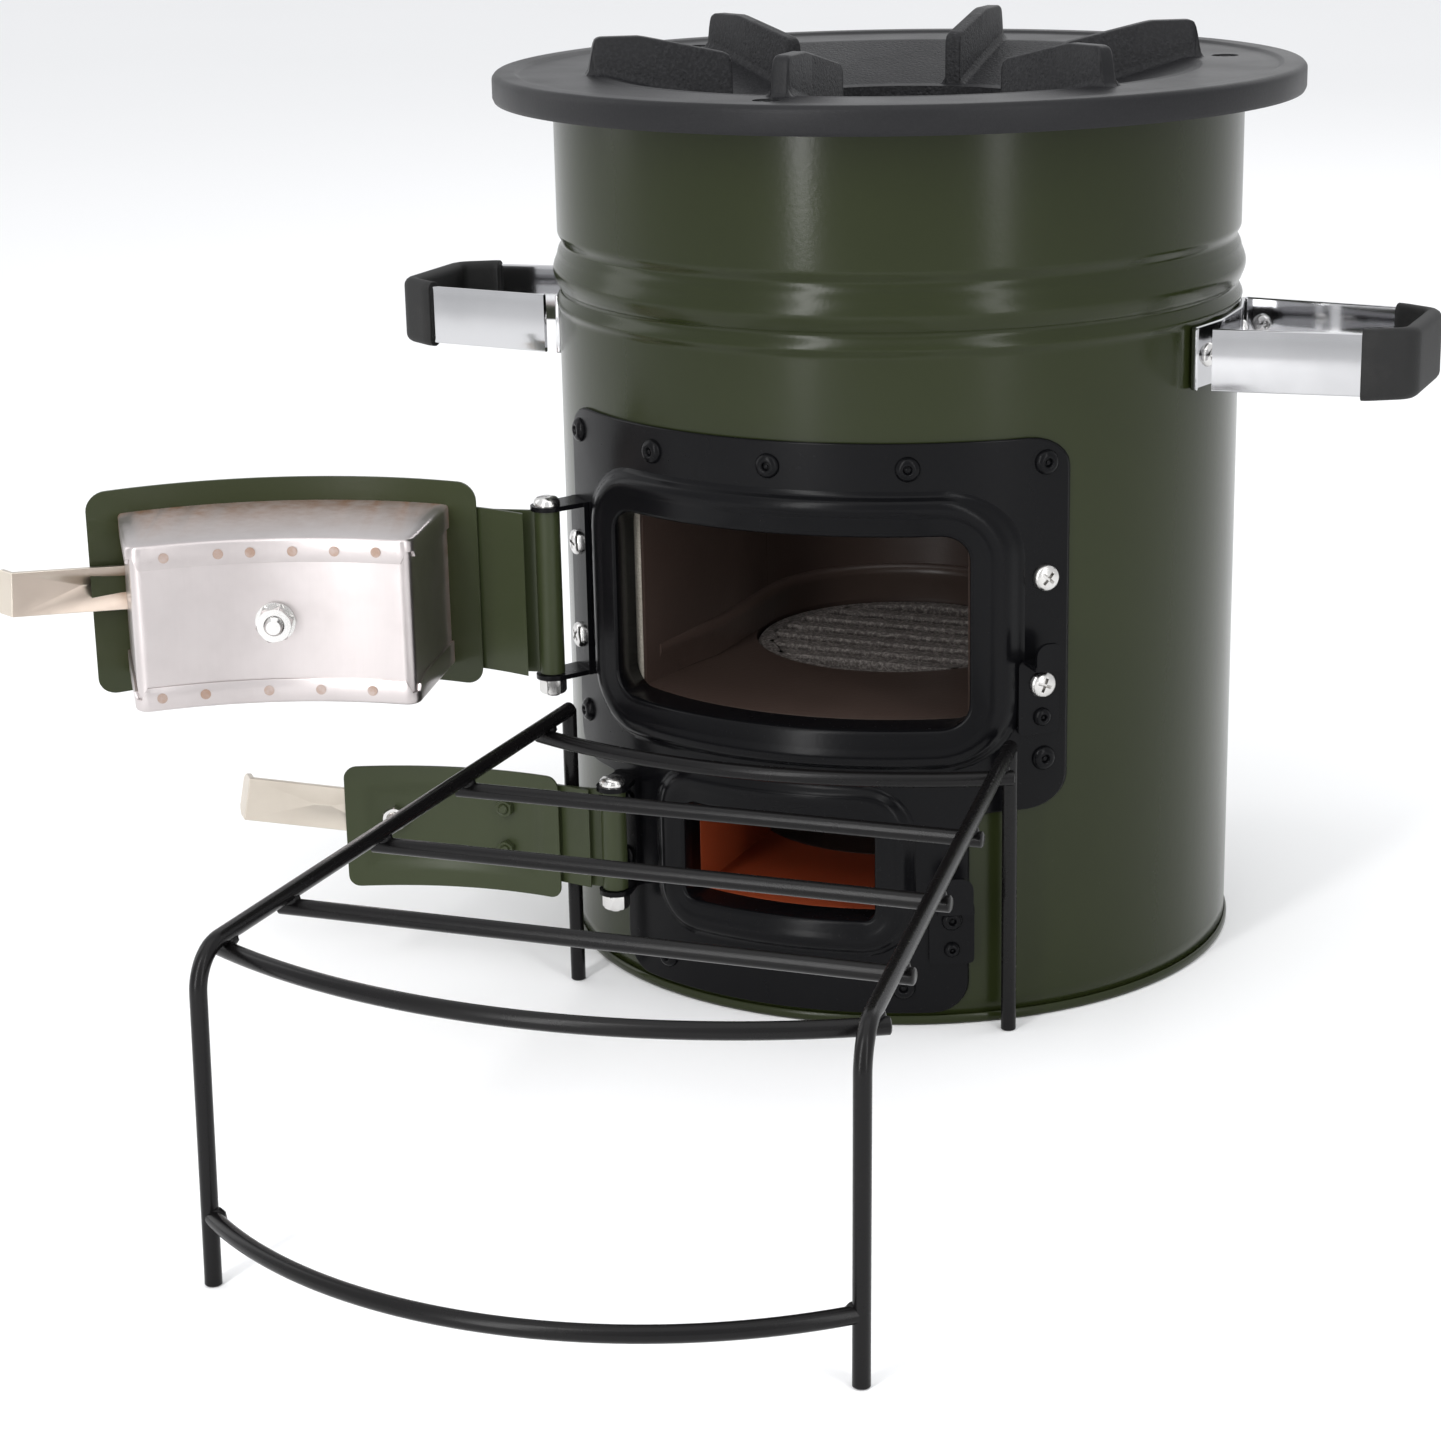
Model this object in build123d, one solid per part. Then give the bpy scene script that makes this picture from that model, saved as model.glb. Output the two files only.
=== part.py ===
from build123d import *
import math
import os

# Rocket stove. Millimetres, +Z up. The origin is the middle of the drum's underside, and the
# front of the stove, with both doors, faces -Y. Angles round the drum are measured from the front,
# growing towards +X. Both doors are drawn shut and then swung open to the rest position.

# ---- drum and base
drum_r = 115.0
drum_wall = 1.0
drum_top = 291.0
base_thick = 1.0
rim_high = 3.5
rim_out = 1.0
# beads of the drum: middle height, half width, depth (outwards is positive)
drum_beads = [(222.0, 1.6, 0.9), (225.3, 1.5, -0.8), (231.8, 5.0, 1.5), (242.0, 2.6, -1.2)]

# ---- cooktop casting
top_r = 134.9
top_rim_z = 298.0
skirt_high = 9.2
skirt_wall = 4.0
border_wide = 8.0
border_proud = 1.0
bowl_r = 98.0
bowl_floor_r = 57.0
bowl_floor_z = 285.5
casting_thick = 6.0
rib_count = 6
rib_thick = 5.4
rib_top_z = 309.3
rib_outer_r = 101.5
rib_flat_r = 85.0
rib_inner_r = 55.5
rib_inner_z = 302.8
hold_down_r = 112.0
hold_down_angles = [0, 120, -120]
hold_down_hole_r = 2.6
hold_down_head_r = 4.6

# ---- riser, grate and ducts
riser_r = 50.0
sheet = 1.5
riser_floor_z = 30.0
grate_seat_z = 94.6
grate_seat_r = 45.0
grate_seat_thick = 2.0
grate_gap = 0.7
grate_thick = 5.0
grate_ring = 6.0
grate_bar = 7.0
grate_pitch = 12.0
fill_gap = 4.0
cover_z = 276.0
duct_gap = 0.3

# ---- door frame plate and its openings
plate_thick = 1.5
plate_half = 86.0
plate_low_half = 60.5
plate_bottom = 4.5
plate_step = 72.0
plate_top = 193.0
plate_corner = 10.0
flange_wall = 1.2
flange_deep = 11.0
fuel_half = 61.0
fuel_low = 101.0
fuel_high = 163.5
fuel_corner = 8.0
air_half = 33.2
air_low = 36.5
air_high = 70.0
air_corner = 4.0
ridge_wide = 12.0
ridge_proud = 3.2
air_ridge_wide = 10.0
air_ridge_proud = 2.5
ridge_round = 1.6

# ---- fasteners
rivet_head_r = 4.0
rivet_head_high = 2.2
rivet_dimple_r = 1.3
rivet_shank_r = 2.0
screw_head_r = 4.3
screw_head_high = 2.6
screw_shank_r = 2.0
shank_inside = 2.0
frame_rivets = [(0, 185), (21.9, 185), (-21.9, 185), (43.8, 185), (-43.8, 185),
                (43.7, 88.7), (-43.7, 88.7), (21, 13.7), (-21, 13.7)]

# ---- doors: shut position, both share the hinge construction
door_skin = 1.2
door_gap = 0.3
pin_r = 2.5
pin_play = 0.05
barrel_r = 4.2
ear_thick = 1.6
ear_half = 5.5
ear_play = 0.3

fuel_hinge_r = 130.0
fuel_hinge_angle = -42.6
fuel_open = 154.6
fuel_ear_low = 104.0
fuel_ear_high = 160.0
fuel_panel_half = 64.5
fuel_panel_low = 98.7
fuel_panel_high = 168.0
fuel_panel_corner = 6.0
fuel_screws = [(-44.2, 147.0), (-44.2, 115.0)]

air_hinge_r = 127.5
air_hinge_angle = -27.3
air_open = 168.0
air_ear_low = 37.0
air_ear_high = 71.5
air_panel_half = 37.3
air_panel_shift = -2.3
air_panel_low = 32.0
air_panel_high = 74.5
air_panel_corner = 4.0
air_rivets = [(-30.4, 64.5), (-30.4, 44.5)]
air_field_inset = 8.0
air_field_deep = 1.2

# ---- plug on the fuel door
plug_half = 54.0
plug_tip_half = 44.5
plug_low = 105.0
plug_high = 160.0
plug_round = 3.0
seat_slack = 0.2
plug_deep = 54.0
plug_wall = 1.0
bolt_r = 3.0
bolt_z = 132.3
nut_across = 10.0
nut_high = 5.0
washer_r = 6.5
washer_thick = 1.2

# ---- latch levers: curved strap on the outside of a door, bent out at its end
lever_wide = 15.0
lever_thick = 1.8
lever_gap = 0.8
lever_play = 0.2
fuel_lever_end = 45.7
fuel_lever_tab = 9.5
fuel_lever_rest = 3.8
fuel_lever_hub = 9.0
air_lever_root = 9.0
air_lever_end = 32.6
air_lever_tab = 8.0
air_lever_rest = 11.0
air_lever_z = 56.0
lever_eye_r = 2.2

# ---- J catches: middle angle, width, plate bottom, slot floor, tab top
catch_thick = 1.6
catch_play = 0.4
fuel_catch = (42.5, 13.6, 97.4, 122.0, 129.2)
fuel_catch_tab_wide = 9.4
air_catch = (28.6, 14.5, 22.0, 43.5, 54.0)
air_catch_tab_wide = 11.0
fuel_catch_screw = (43.0, 113.8)
fuel_catch_rivet = (43.0, 103.0)
plate_screw = (43.8, 148.0)
air_catch_rivets = [(28.6, 37.0), (28.6, 27.0)]
small_rivet_r = 3.0

# ---- carrying handles
handle_low = 199.8
handle_high = 219.8
handle_half = 32.0
handle_tip_half = 25.0
handle_neck_x = 167.0
handle_out = 180.0
handle_strap = 1.6
handle_bend = 7.0
grip_over = 3.0
handle_rivet_half = 22.0

# ---- wire fuel shelf, in its own frame before it is turned towards +X
rod_r = 2.45
shelf_turn = 3.4
shelf_skew = 0.04
shelf_rear_x = -1.2
shelf_rear_y = -103.0
shelf_rear_half = 75.4
shelf_splay = 4.2
shelf_long = 238.0
shelf_top = 95.6
shelf_bend = 12.0
shelf_front_lean = 2.0
shelf_bars = [76.0, 131.5, 187.0]
bar_drop = 4.6
bar_over = 3.5
shelf_front_bar = 221.0
shelf_front_bow = 24.0
shelf_rear_bar = 16.0
shelf_rear_bow = 18.0
tie_z = 20.0
tie_bow = 34.0


def at(radius, angle, z=0.0):
    """Point at a radius and an angle from the front."""
    turn = math.radians(angle)
    return Vector(radius * math.sin(turn), -radius * math.cos(turn), z)


def outward(radius, angle, z):
    """Plane that faces away from the drum's axis, with its y upwards."""
    turn = math.radians(angle)
    return Plane(
        origin=at(radius, angle, z),
        x_dir=(math.cos(turn), math.sin(turn), 0),
        z_dir=(math.sin(turn), -math.cos(turn), 0),
    )


def disc(radius, low, high):
    """Upright cylinder on the drum's axis."""
    return Pos(0, 0, (low + high) / 2) * Cylinder(radius, high - low)


def ring(outer, inner, low, high):
    """Upright tube on the drum's axis."""
    return disc(outer, low, high) - disc(inner, low - 1, high + 1)


def front_prism(half, low, high, corner, middle=0.0, reach=160.0):
    """Rounded rectangle on the XZ plane, drawn out towards the front."""
    face = Plane.XZ * Pos(middle, (low + high) / 2) * RectangleRounded(2 * half, high - low, corner)
    return extrude(face, reach)


def curved_plate(prism, inner, thick):
    """The part of a tube wall that lies inside a prism."""
    return prism & ring(inner + thick, inner, -20, 330)


def spun(points):
    """Solid of revolution from radius and height points."""
    return revolve(make_face(Plane.XZ * Polyline(*points, close=True)), Axis.Z)


def post(radius, angle, z, start, end):
    """Round bar along the outward direction, between two radii from the drum's axis."""
    place = outward(start, angle, z)
    return extrude(place * Circle(radius), end - start)


def round_head(radius, high, soft):
    """Short cylinder on its own z axis with a rounded top edge."""
    body = extrude(Circle(radius), high)
    return fillet(body.edges().filter_by(GeomType.CIRCLE).sort_by(Axis.Z)[-1], soft)


def dome(radius, high, angle, z, seat):
    """Low round head with a softened edge that sits on a curved wall."""
    head = outward(seat - 0.6, angle, z).location * round_head(radius, high + 0.6, high * 0.6)
    return head - disc(seat, z - 2 * radius, z + 2 * radius)


def rivet(angle, z, seat, radius=rivet_head_r):
    """Blind rivet with a dimple in its head."""
    body = dome(radius, rivet_head_high, angle, z, seat)
    body += post(rivet_shank_r, angle, z, drum_r - drum_wall - shank_inside, seat + 0.5)
    return body - post(rivet_dimple_r, angle, z, seat + rivet_head_high - 1.2, seat + 10)


def screw(angle, z, seat):
    """Pan-head screw with a cross slot."""
    body = dome(screw_head_r, screw_head_high, angle, z, seat)
    body += post(screw_shank_r, angle, z, drum_r - drum_wall - shank_inside, seat + 0.5)
    place = outward(seat + screw_head_high - 1.1, angle, z)
    slots = extrude(place * Rectangle(4.6, 1.0), 6) + extrude(place * Rectangle(1.0, 4.6), 6)
    return body - slots


def wall_holes():
    """Every fastener hole through the drum wall and the plate."""
    spots = frame_rivets + fuel_screws + air_rivets + air_catch_rivets
    spots = spots + [fuel_catch_screw, fuel_catch_rivet, plate_screw]
    holes = [post(rivet_shank_r, angle, z, 100, 140) for angle, z in spots]
    for side in (-1, 1):
        for y in (-handle_rivet_half, handle_rivet_half):
            holes.append(post(rivet_shank_r, 90 * side + math.degrees(y / drum_r), handle_mid(), 100, 140))
    return holes


def handle_mid():
    """Middle height of the carrying handles."""
    return (handle_low + handle_high) / 2


def grown(half, low, high, corner, by):
    """An opening's prism, larger by the same amount on every side."""
    return front_prism(half + by, low - by, high + by, corner + by)


def fuel_prism(by=0.0):
    return grown(fuel_half, fuel_low, fuel_high, fuel_corner, by)


def air_prism(by=0.0):
    return grown(air_half, air_low, air_high, air_corner, by)


# ---------------------------------------------------------------- drum
def bead_bump(z, half, deep, radius):
    """Ring with an arched section that follows a bead, seen as a solid of revolution."""
    arch = ThreePointArc((radius, z - half), (radius + deep, z), (radius, z + half))
    back = Line((radius, z + half), (radius, z - half))
    return revolve(Plane.XZ * make_face(arch + back), Axis.Z)


def beaded(radius, low, high):
    """Cylinder with the drum's beads rolled into it."""
    body = disc(radius, low, high)
    for z, half, deep in drum_beads:
        bump = bead_bump(z, half, deep, radius)
        body = body + bump if deep > 0 else body - bump
    return body


def make_body_shell():
    shell = beaded(drum_r, base_thick, drum_top) - beaded(drum_r - drum_wall, base_thick - 1, drum_top + 1)
    shell -= fuel_prism(flange_wall)
    shell -= air_prism(flange_wall)
    return shell - wall_holes()


def make_base_pan():
    pan = disc(drum_r + rim_out, 0, rim_high)
    pan = fillet(pan.edges().filter_by(GeomType.CIRCLE), rim_out * 0.8)
    pan -= disc(drum_r, base_thick, rim_high + 1)
    return pan


def make_insulation():
    body = disc(drum_r - fill_gap, base_thick, cover_z)
    body -= disc(riser_r + sheet, riser_floor_z, cover_z + 1)
    body -= duct_prism(fuel_half, riser_r, fuel_low, fuel_high, sheet)
    body -= duct_prism(air_half, air_half, air_low, air_high, sheet)
    return body - flange_space()


def flange_space():
    """Room behind the plate that both door flanges take."""
    band = ring(drum_r + 1, drum_r + plate_thick - flange_deep - duct_gap, 0, 200)
    return (fuel_prism(flange_wall) + air_prism(flange_wall)) & band


def make_insulation_cover():
    return ring(drum_r - drum_wall, riser_r + sheet, cover_z, cover_z + base_thick)


# ---------------------------------------------------------------- riser and ducts
def duct_prism(front_half, rear_half, low, high, by):
    """Duct outline that tapers from the mouth to the riser's width, larger by the wall on request."""
    front_y = -(drum_r + plate_thick)
    taper_end = -0.95 * riser_r
    corners = [
        (-front_half - by, front_y), (-rear_half - by, taper_end), (-rear_half - by, 0),
        (rear_half + by, 0), (rear_half + by, taper_end), (front_half + by, front_y),
    ]
    face = make_face(Polyline(*corners, close=True))
    return Pos(0, 0, low - by) * extrude(face, high - low + 2 * by)


def duct_reach():
    """Radius at which a duct starts, just behind the flange."""
    return drum_r + plate_thick - flange_deep - duct_gap


def make_fuel_duct():
    outer = duct_prism(fuel_half, riser_r, fuel_low, fuel_high, sheet)
    inner = duct_prism(fuel_half, riser_r, fuel_low, fuel_high, 0)
    duct = (outer - inner) & disc(duct_reach(), 0, cover_z)
    return duct - disc(riser_r, 0, cover_z)


def make_air_duct():
    outer = duct_prism(air_half, air_half, air_low, air_high, sheet)
    inner = duct_prism(air_half, air_half, air_low, air_high, 0)
    duct = (outer - inner) & disc(duct_reach(), 0, cover_z)
    return duct - disc(riser_r + sheet, 0, cover_z)


def make_riser():
    """Chimney tube, open towards the fuel duct."""
    tube = ring(riser_r + sheet, riser_r, grate_seat_z, riser_top())
    return tube - duct_prism(fuel_half, riser_r, fuel_low, fuel_high, sheet)


def make_fire_cup():
    """Cup below the chimney tube, with the floor and the ledge that the grate lies on."""
    tube = ring(riser_r + sheet, riser_r, riser_floor_z, grate_seat_z)
    tube += disc(riser_r + sheet, riser_floor_z, riser_floor_z + sheet)
    tube -= duct_prism(air_half, air_half, air_low, air_high, 0)
    return tube + ring(riser_r + sheet, grate_seat_r, grate_seat_z - grate_seat_thick, grate_seat_z)


def riser_top():
    """The casting stands on the riser here."""
    return bowl_floor_z - casting_thick


def make_grate():
    outer = riser_r - grate_gap
    bottom = grate_seat_z
    body = ring(outer, outer - grate_ring, bottom, bottom + grate_thick)
    bars = [-2.5, -1.5, -0.5, 0.5, 1.5, 2.5]
    for step in bars:
        bar = Pos(0, step * grate_pitch, bottom + grate_thick / 2) * Box(2 * outer, grate_bar, grate_thick)
        body += bar & disc(outer - 1, 0, 200)
    return body


# ---------------------------------------------------------------- cooktop
def make_cooktop():
    ring_z = top_rim_z - border_proud
    skirt_z = top_rim_z - skirt_high
    under_z = drum_top
    body = spun([
        (top_r, skirt_z), (top_r, top_rim_z - 1.6), (top_r - 1.6, top_rim_z),
        (top_r - border_wide, top_rim_z), (top_r - border_wide - 1, ring_z),
        (bowl_r + 2, ring_z), (bowl_r, ring_z - 1), (bowl_floor_r, bowl_floor_z),
        (riser_r, bowl_floor_z), (riser_r, riser_top()), (bowl_floor_r, riser_top()),
        (bowl_r + 4, under_z), (top_r - skirt_wall, under_z), (top_r - skirt_wall, skirt_z),
    ])
    for step in range(rib_count):
        body += Rot(0, 0, 30 + step * 360 / rib_count) * pot_rib()
    for angle in hold_down_angles:
        place = at(hold_down_r, angle)
        body -= Pos(place.X, place.Y, drum_top) * Cylinder(hold_down_hole_r, 40)
        body -= Pos(place.X, place.Y, ring_z) * Cylinder(hold_down_head_r, 5)
    return body


def pot_rib():
    """One upright rib that carries the pot, along +X."""
    under = riser_top() + 3
    side = Plane.XZ * make_face(Polyline(
        (rib_outer_r + 2, top_rim_z - 3), (rib_outer_r - 1, rib_top_z), (rib_flat_r, rib_top_z),
        (rib_inner_r + 1, rib_inner_z), (rib_inner_r, under), (bowl_floor_r, under),
        close=True,
    ))
    return Pos(0, rib_thick / 2, 0) * extrude(side, rib_thick)


def hold_down_screw(angle):
    ring_z = top_rim_z - border_proud
    place = at(hold_down_r, angle)
    body = Pos(place.X, place.Y, ring_z - 1.5) * Cylinder(hold_down_head_r - 0.4, 2.0)
    body += Pos(place.X, place.Y, ring_z - 9) * Cylinder(2.0, 15)
    return body - Pos(place.X, place.Y, ring_z - 0.5) * Rot(0, 0, angle) * Box(6, 1.0, 1.6)


def hold_down_bracket(angle):
    """Angle piece on the inside of the drum that a cooktop screw bites in."""
    flat = Pos(0, -(hold_down_r - 4), drum_top - 7) * Box(16, 10, 2)
    leg = curved_plate(front_prism(8, cover_z + 2, drum_top - 6, 2), drum_r - drum_wall - 2, 2)
    shape = (flat + leg) & disc(drum_r - drum_wall, 0, drum_top)
    shape -= Pos(0, -hold_down_r, drum_top - 7) * Cylinder(2.0, 10)
    return Rot(0, 0, angle) * shape


# ---------------------------------------------------------------- door frame
def make_door_frame():
    wide = front_prism(plate_half, plate_step, plate_top, plate_corner)
    low = front_prism(plate_low_half, plate_bottom, plate_step + 3 * plate_corner, plate_corner)
    plate = curved_plate(wide + low, drum_r, plate_thick)
    seat = drum_r + plate_thick
    plate += raised_ridge(fuel_half, fuel_low, fuel_high, fuel_corner, ridge_wide, ridge_proud, seat)
    plate += raised_ridge(air_half, air_low, air_high, air_corner, air_ridge_wide, air_ridge_proud, seat)
    band = ring(seat, seat - flange_deep, 0, 200)
    plate += (fuel_prism(flange_wall) + air_prism(flange_wall)) & band
    plate -= fuel_prism()
    plate -= air_prism()
    return plate - wall_holes()


def raised_ridge(half, low, high, corner, wide, proud, seat):
    """Rounded collar that stands out of the plate round an opening."""
    collar = curved_plate(grown(half, low, high, corner, wide), seat - 0.5, proud + 0.5)
    edges = collar.faces().sort_by(Axis.Y)[0].outer_wire().edges()
    return fillet(edges, ridge_round)


# ---------------------------------------------------------------- hinges
def hinge_point(radius, angle):
    spot = at(radius, angle)
    return Pos(spot.X, spot.Y, 0)


def make_bracket(radius, angle, low, high, foot_angle, foot_half):
    """Channel with two ears round the pin and a foot that follows the plate."""
    seat = drum_r + plate_thick
    foot = outward(0, foot_angle, (low + high) / 2) * Rectangle(2 * foot_half, high - low + 2 * ear_thick)
    body = extrude(foot, 160) & ring(seat + ear_thick, seat, low - 5, high + 5)
    spot = at(radius, angle)
    for z in (low - ear_thick, high):
        web = make_hull([
            CenterArc((spot.X, spot.Y), ear_half, 0, 360).edge(),
            foot_line(seat + ear_thick / 2, foot_angle, foot_half),
        ])
        body += Pos(0, 0, z) * extrude(make_face(web.edges()), ear_thick) - disc(seat, 0, 300)
    pin_hole = hinge_point(radius, angle) * Pos(0, 0, (low + high) / 2) * Cylinder(pin_r, high - low + 20)
    return body - pin_hole


def foot_line(radius, angle, half):
    middle = at(radius, angle)
    turn = math.radians(angle)
    along = Vector(math.cos(turn), math.sin(turn), 0) * (half - 0.5)
    first = middle - along
    second = middle + along
    return Line((first.X, first.Y), (second.X, second.Y)).edge()


def make_pin(radius, angle, low, high):
    """Dome-headed pin through both ears."""
    top = high + ear_thick
    bottom = low - ear_thick - nut_high - 1
    shaft = Pos(0, 0, (top + bottom) / 2) * Cylinder(pin_r, top - bottom)
    head = Pos(0, 0, top) * round_head(4.4, 3, 2.2)
    return hinge_point(radius, angle) * (shaft + head)


def make_pin_nut(radius, angle, low):
    nut = extrude(RegularPolygon(4.6, 6), -nut_high) - Cylinder(pin_r, 20)
    return hinge_point(radius, angle) * Pos(0, 0, low - ear_thick) * nut


def make_arm(radius, angle, low, high, panel_edge, grip, skin):
    """Strap on the outside of a door skin, rolled into a barrel round the pin."""
    spot = at(radius, angle)
    strap = curved_plate(front_prism((grip - spot.X) / 2, low, high, 2, (grip + spot.X) / 2), skin, door_skin)
    barrel = hinge_point(radius, angle) * Pos(0, 0, (low + high) / 2) * Cylinder(barrel_r, high - low)
    edge = at(skin + door_skin / 2, panel_edge)
    web = bridge((spot.X, spot.Y), (edge.X, edge.Y), door_skin)
    strap -= hinge_point(radius, angle) * Pos(0, 0, (low + high) / 2) * Box(16, 60, high)
    body = strap + barrel + Pos(0, 0, low) * extrude(web, high - low)
    bore = hinge_point(radius, angle) * Pos(0, 0, (low + high) / 2) * Cylinder(pin_r + pin_play, high)
    return body - bore


def bridge(start, end, thick):
    """Flat strip in plan between two points."""
    length = math.dist(start, end)
    turn = math.degrees(math.atan2(end[1] - start[1], end[0] - start[0]))
    return Pos(*start) * Rot(0, 0, turn) * Pos(length / 2, 0) * Rectangle(length, thick)


def swung(shape, radius, angle, by):
    """A door part, drawn shut, turned open about its hinge."""
    spot = at(radius, angle)
    return shape.rotate(Axis((spot.X, spot.Y, 0), (0, 0, 1)), -by)


def fuel_swung(shape):
    return swung(shape, fuel_hinge_r, fuel_hinge_angle, fuel_open)


def air_swung(shape):
    return swung(shape, air_hinge_r, air_hinge_angle, air_open)


# ---------------------------------------------------------------- fuel door
def skin_r():
    """Inner radius of both door skins when shut."""
    return drum_r + plate_thick + ridge_proud + door_gap


def make_fuel_panel():
    panel = curved_plate(
        front_prism(fuel_panel_half, fuel_panel_low, fuel_panel_high, fuel_panel_corner), skin_r(), door_skin)
    return panel - bolt_hole()


def bolt_hole():
    return post(bolt_r, 0, bolt_z, 40, 150)


def plug_block(by):
    """Tapered plug, smaller by a wall on request, from the door skin inwards."""
    root = plug_half - by
    tip = plug_tip_half - by
    root_y = -math.sqrt(skin_r() ** 2 - root ** 2)
    tip_y = plug_deep - by - math.sqrt(skin_r() ** 2 - tip ** 2)
    outline = ThreePointArc((-root, root_y), (0, -skin_r()), (root, root_y))
    outline += Line((root, root_y), (tip, tip_y))
    outline += ThreePointArc((tip, tip_y), (0, plug_deep - by - skin_r()), (-tip, tip_y))
    outline += Line((-tip, tip_y), (-root, root_y))
    face = make_face(outline)
    inner_corners = face.vertices().sort_by(Axis.Y)[-2:]
    face = fillet(inner_corners, plug_round - by)
    return Pos(0, 0, plug_low + by) * extrude(face, plug_high - plug_low - 2 * by)


def make_plug_box():
    return plug_block(0) - plug_block(plug_wall) - plug_skin_side() - bolt_hole()


def plug_skin_side():
    """Opens the box towards the door skin."""
    inside = plug_block(plug_wall)
    return Pos(0, -plug_wall * 2, 0) * inside & disc(skin_r(), 0, 300)


def make_plug_fill():
    return plug_block(plug_wall + 0.2) - bolt_hole()


def plug_face_r():
    """Distance from the drum's axis to the middle of the plug's inner face."""
    return skin_r() - plug_deep


def make_fuel_bolt():
    """Bolt along the door's middle, with a round head outside the lever."""
    head_r = lever_seat() + lever_thick + lever_play / 4
    body = post(bolt_r, 0, bolt_z, plug_face_r() - nut_high - washer_thick - 2.5, head_r)
    head = outward(head_r, 0, bolt_z).location * round_head(6.5, 3, 2.0)
    spacer = post(5.0, 0, bolt_z, skin_r() + door_skin + seat_slack, lever_seat() - lever_play)
    return body + head + spacer


def make_fuel_nut():
    seat = plug_face_r()
    nut = post_polygon(nut_across / 2 + 0.6, seat - washer_thick - nut_high, seat - washer_thick)
    washer = post(washer_r, 0, bolt_z, seat - washer_thick, seat)
    return nut + washer - bolt_hole() - plug_block(0)


def post_polygon(radius, start, end):
    return extrude(outward(start, 0, bolt_z) * RegularPolygon(radius, 6), end - start)


# ---------------------------------------------------------------- latch levers
def lever_seat():
    """Inner radius of a lever strap when its door is shut."""
    return skin_r() + 2 * door_skin + lever_gap


def make_lever(root_angle, end_angle, z, tab, hub, hole):
    """Strap that follows the door, with a round root and an end tab bent outwards."""
    seat = lever_seat()
    start = at(seat, root_angle).X
    end = at(seat, end_angle).X
    outline = Pos((start + end) / 2, z) * Rectangle(end - start, lever_wide) + Pos(start, z) * Circle(hub)
    strap = curved_plate(extrude(Plane.XZ * outline, 160), seat, lever_thick)
    strap -= post(hole, root_angle, z, seat - 5, seat + 10)
    return strap + lever_tab(end_angle, z, tab)


def lever_tab(angle, z, tab):
    """End of the strap, bent to stand straight out, with rounded corners and an eye."""
    place = outward(lever_seat(), angle, z)
    side = Plane(origin=place.origin, x_dir=place.z_dir, z_dir=place.x_dir)
    outline = Pos(tab / 2, 0) * Rectangle(tab, lever_wide)
    outline = fillet(outline.vertices().sort_by(Axis.X)[-2:], 3.5)
    outline -= Pos(tab - 5.5, 0) * Circle(lever_eye_r)
    return extrude(side * outline, -lever_thick)


def turned_lever(shape, root_angle, z, by):
    """Lever turned about its pivot, the end going up for a positive angle."""
    spot = at(lever_seat(), root_angle, z)
    turn = math.radians(root_angle)
    return shape.rotate(Axis(tuple(spot), (math.sin(turn), -math.cos(turn), 0)), by)


def make_fuel_lever():
    lever = make_lever(0, fuel_lever_end, bolt_z, fuel_lever_tab, fuel_lever_hub, bolt_r + pin_play)
    return turned_lever(lever, 0, bolt_z, fuel_lever_rest)


def make_air_lever():
    lever = make_lever(air_lever_root, air_lever_end, air_lever_z, air_lever_tab, lever_wide / 2, pin_r + pin_play)
    return turned_lever(lever, air_lever_root, air_lever_z, air_lever_rest)


# ---------------------------------------------------------------- catches
def make_catch(catch, tab_wide, holes):
    """Plate on the frame that steps outwards and up, so that a lever drops in behind its tab."""
    angle, wide, bottom, floor, top = catch
    seat = drum_r + plate_thick
    tab_r = lever_seat() + lever_thick + catch_play
    plate = catch_piece(angle, wide, bottom, floor, seat, catch_thick)
    step = catch_piece(angle, tab_wide, floor - catch_thick, floor, seat, tab_r + catch_thick - seat)
    tab = catch_piece(angle, tab_wide, floor - catch_thick, top, tab_r, catch_thick)
    return plate + step + tab - holes


def catch_piece(angle, wide, low, high, inner, thick):
    block = extrude(outward(0, angle, (low + high) / 2) * Rectangle(wide, high - low), 160)
    return block & ring(inner + thick, inner, low - 5, high + 5)


# ---------------------------------------------------------------- air door
def make_air_panel():
    prism = front_prism(air_panel_half, air_panel_low, air_panel_high, air_panel_corner, air_panel_shift)
    panel = curved_plate(prism, skin_r(), door_skin)
    inset = air_field_inset
    field = front_prism(air_panel_half - inset, air_panel_low + inset, air_panel_high - inset,
                        air_panel_corner, air_panel_shift)
    panel += curved_plate(field, skin_r() + door_skin, air_field_deep)
    hollow = front_prism(air_panel_half - inset - 1.2, air_panel_low + inset + 1.2,
                         air_panel_high - inset - 1.2, air_panel_corner - 1, air_panel_shift)
    panel -= curved_plate(hollow, skin_r(), air_field_deep)
    return panel - air_pivot_hole() - air_arm_holes()


def air_pivot_hole():
    return post(pin_r, air_lever_root, air_lever_z, 90, 150)


def air_arm_spots():
    return [(-9.5, air_lever_z - 9.0), (-9.5, air_lever_z + 5.5)]


def air_arm_holes():
    return [post(1.6, angle, z, 90, 150) for angle, z in air_arm_spots()]


def make_air_arm_nuts():
    """Two small screws with their nuts inside the door, which hold the arm."""
    inner = skin_r() + air_field_deep - seat_slack
    outer = skin_r() + door_skin + air_field_deep + door_skin
    group = []
    for angle, z in air_arm_spots():
        body = post(1.6, angle, z, inner - 3.2, outer)
        body += extrude(outward(inner - 2.4, angle, z) * RegularPolygon(3.0, 6), 2.4)
        group.append(body + extrude(outward(outer, angle, z) * Circle(3.0), 1.2))
    return group


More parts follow.
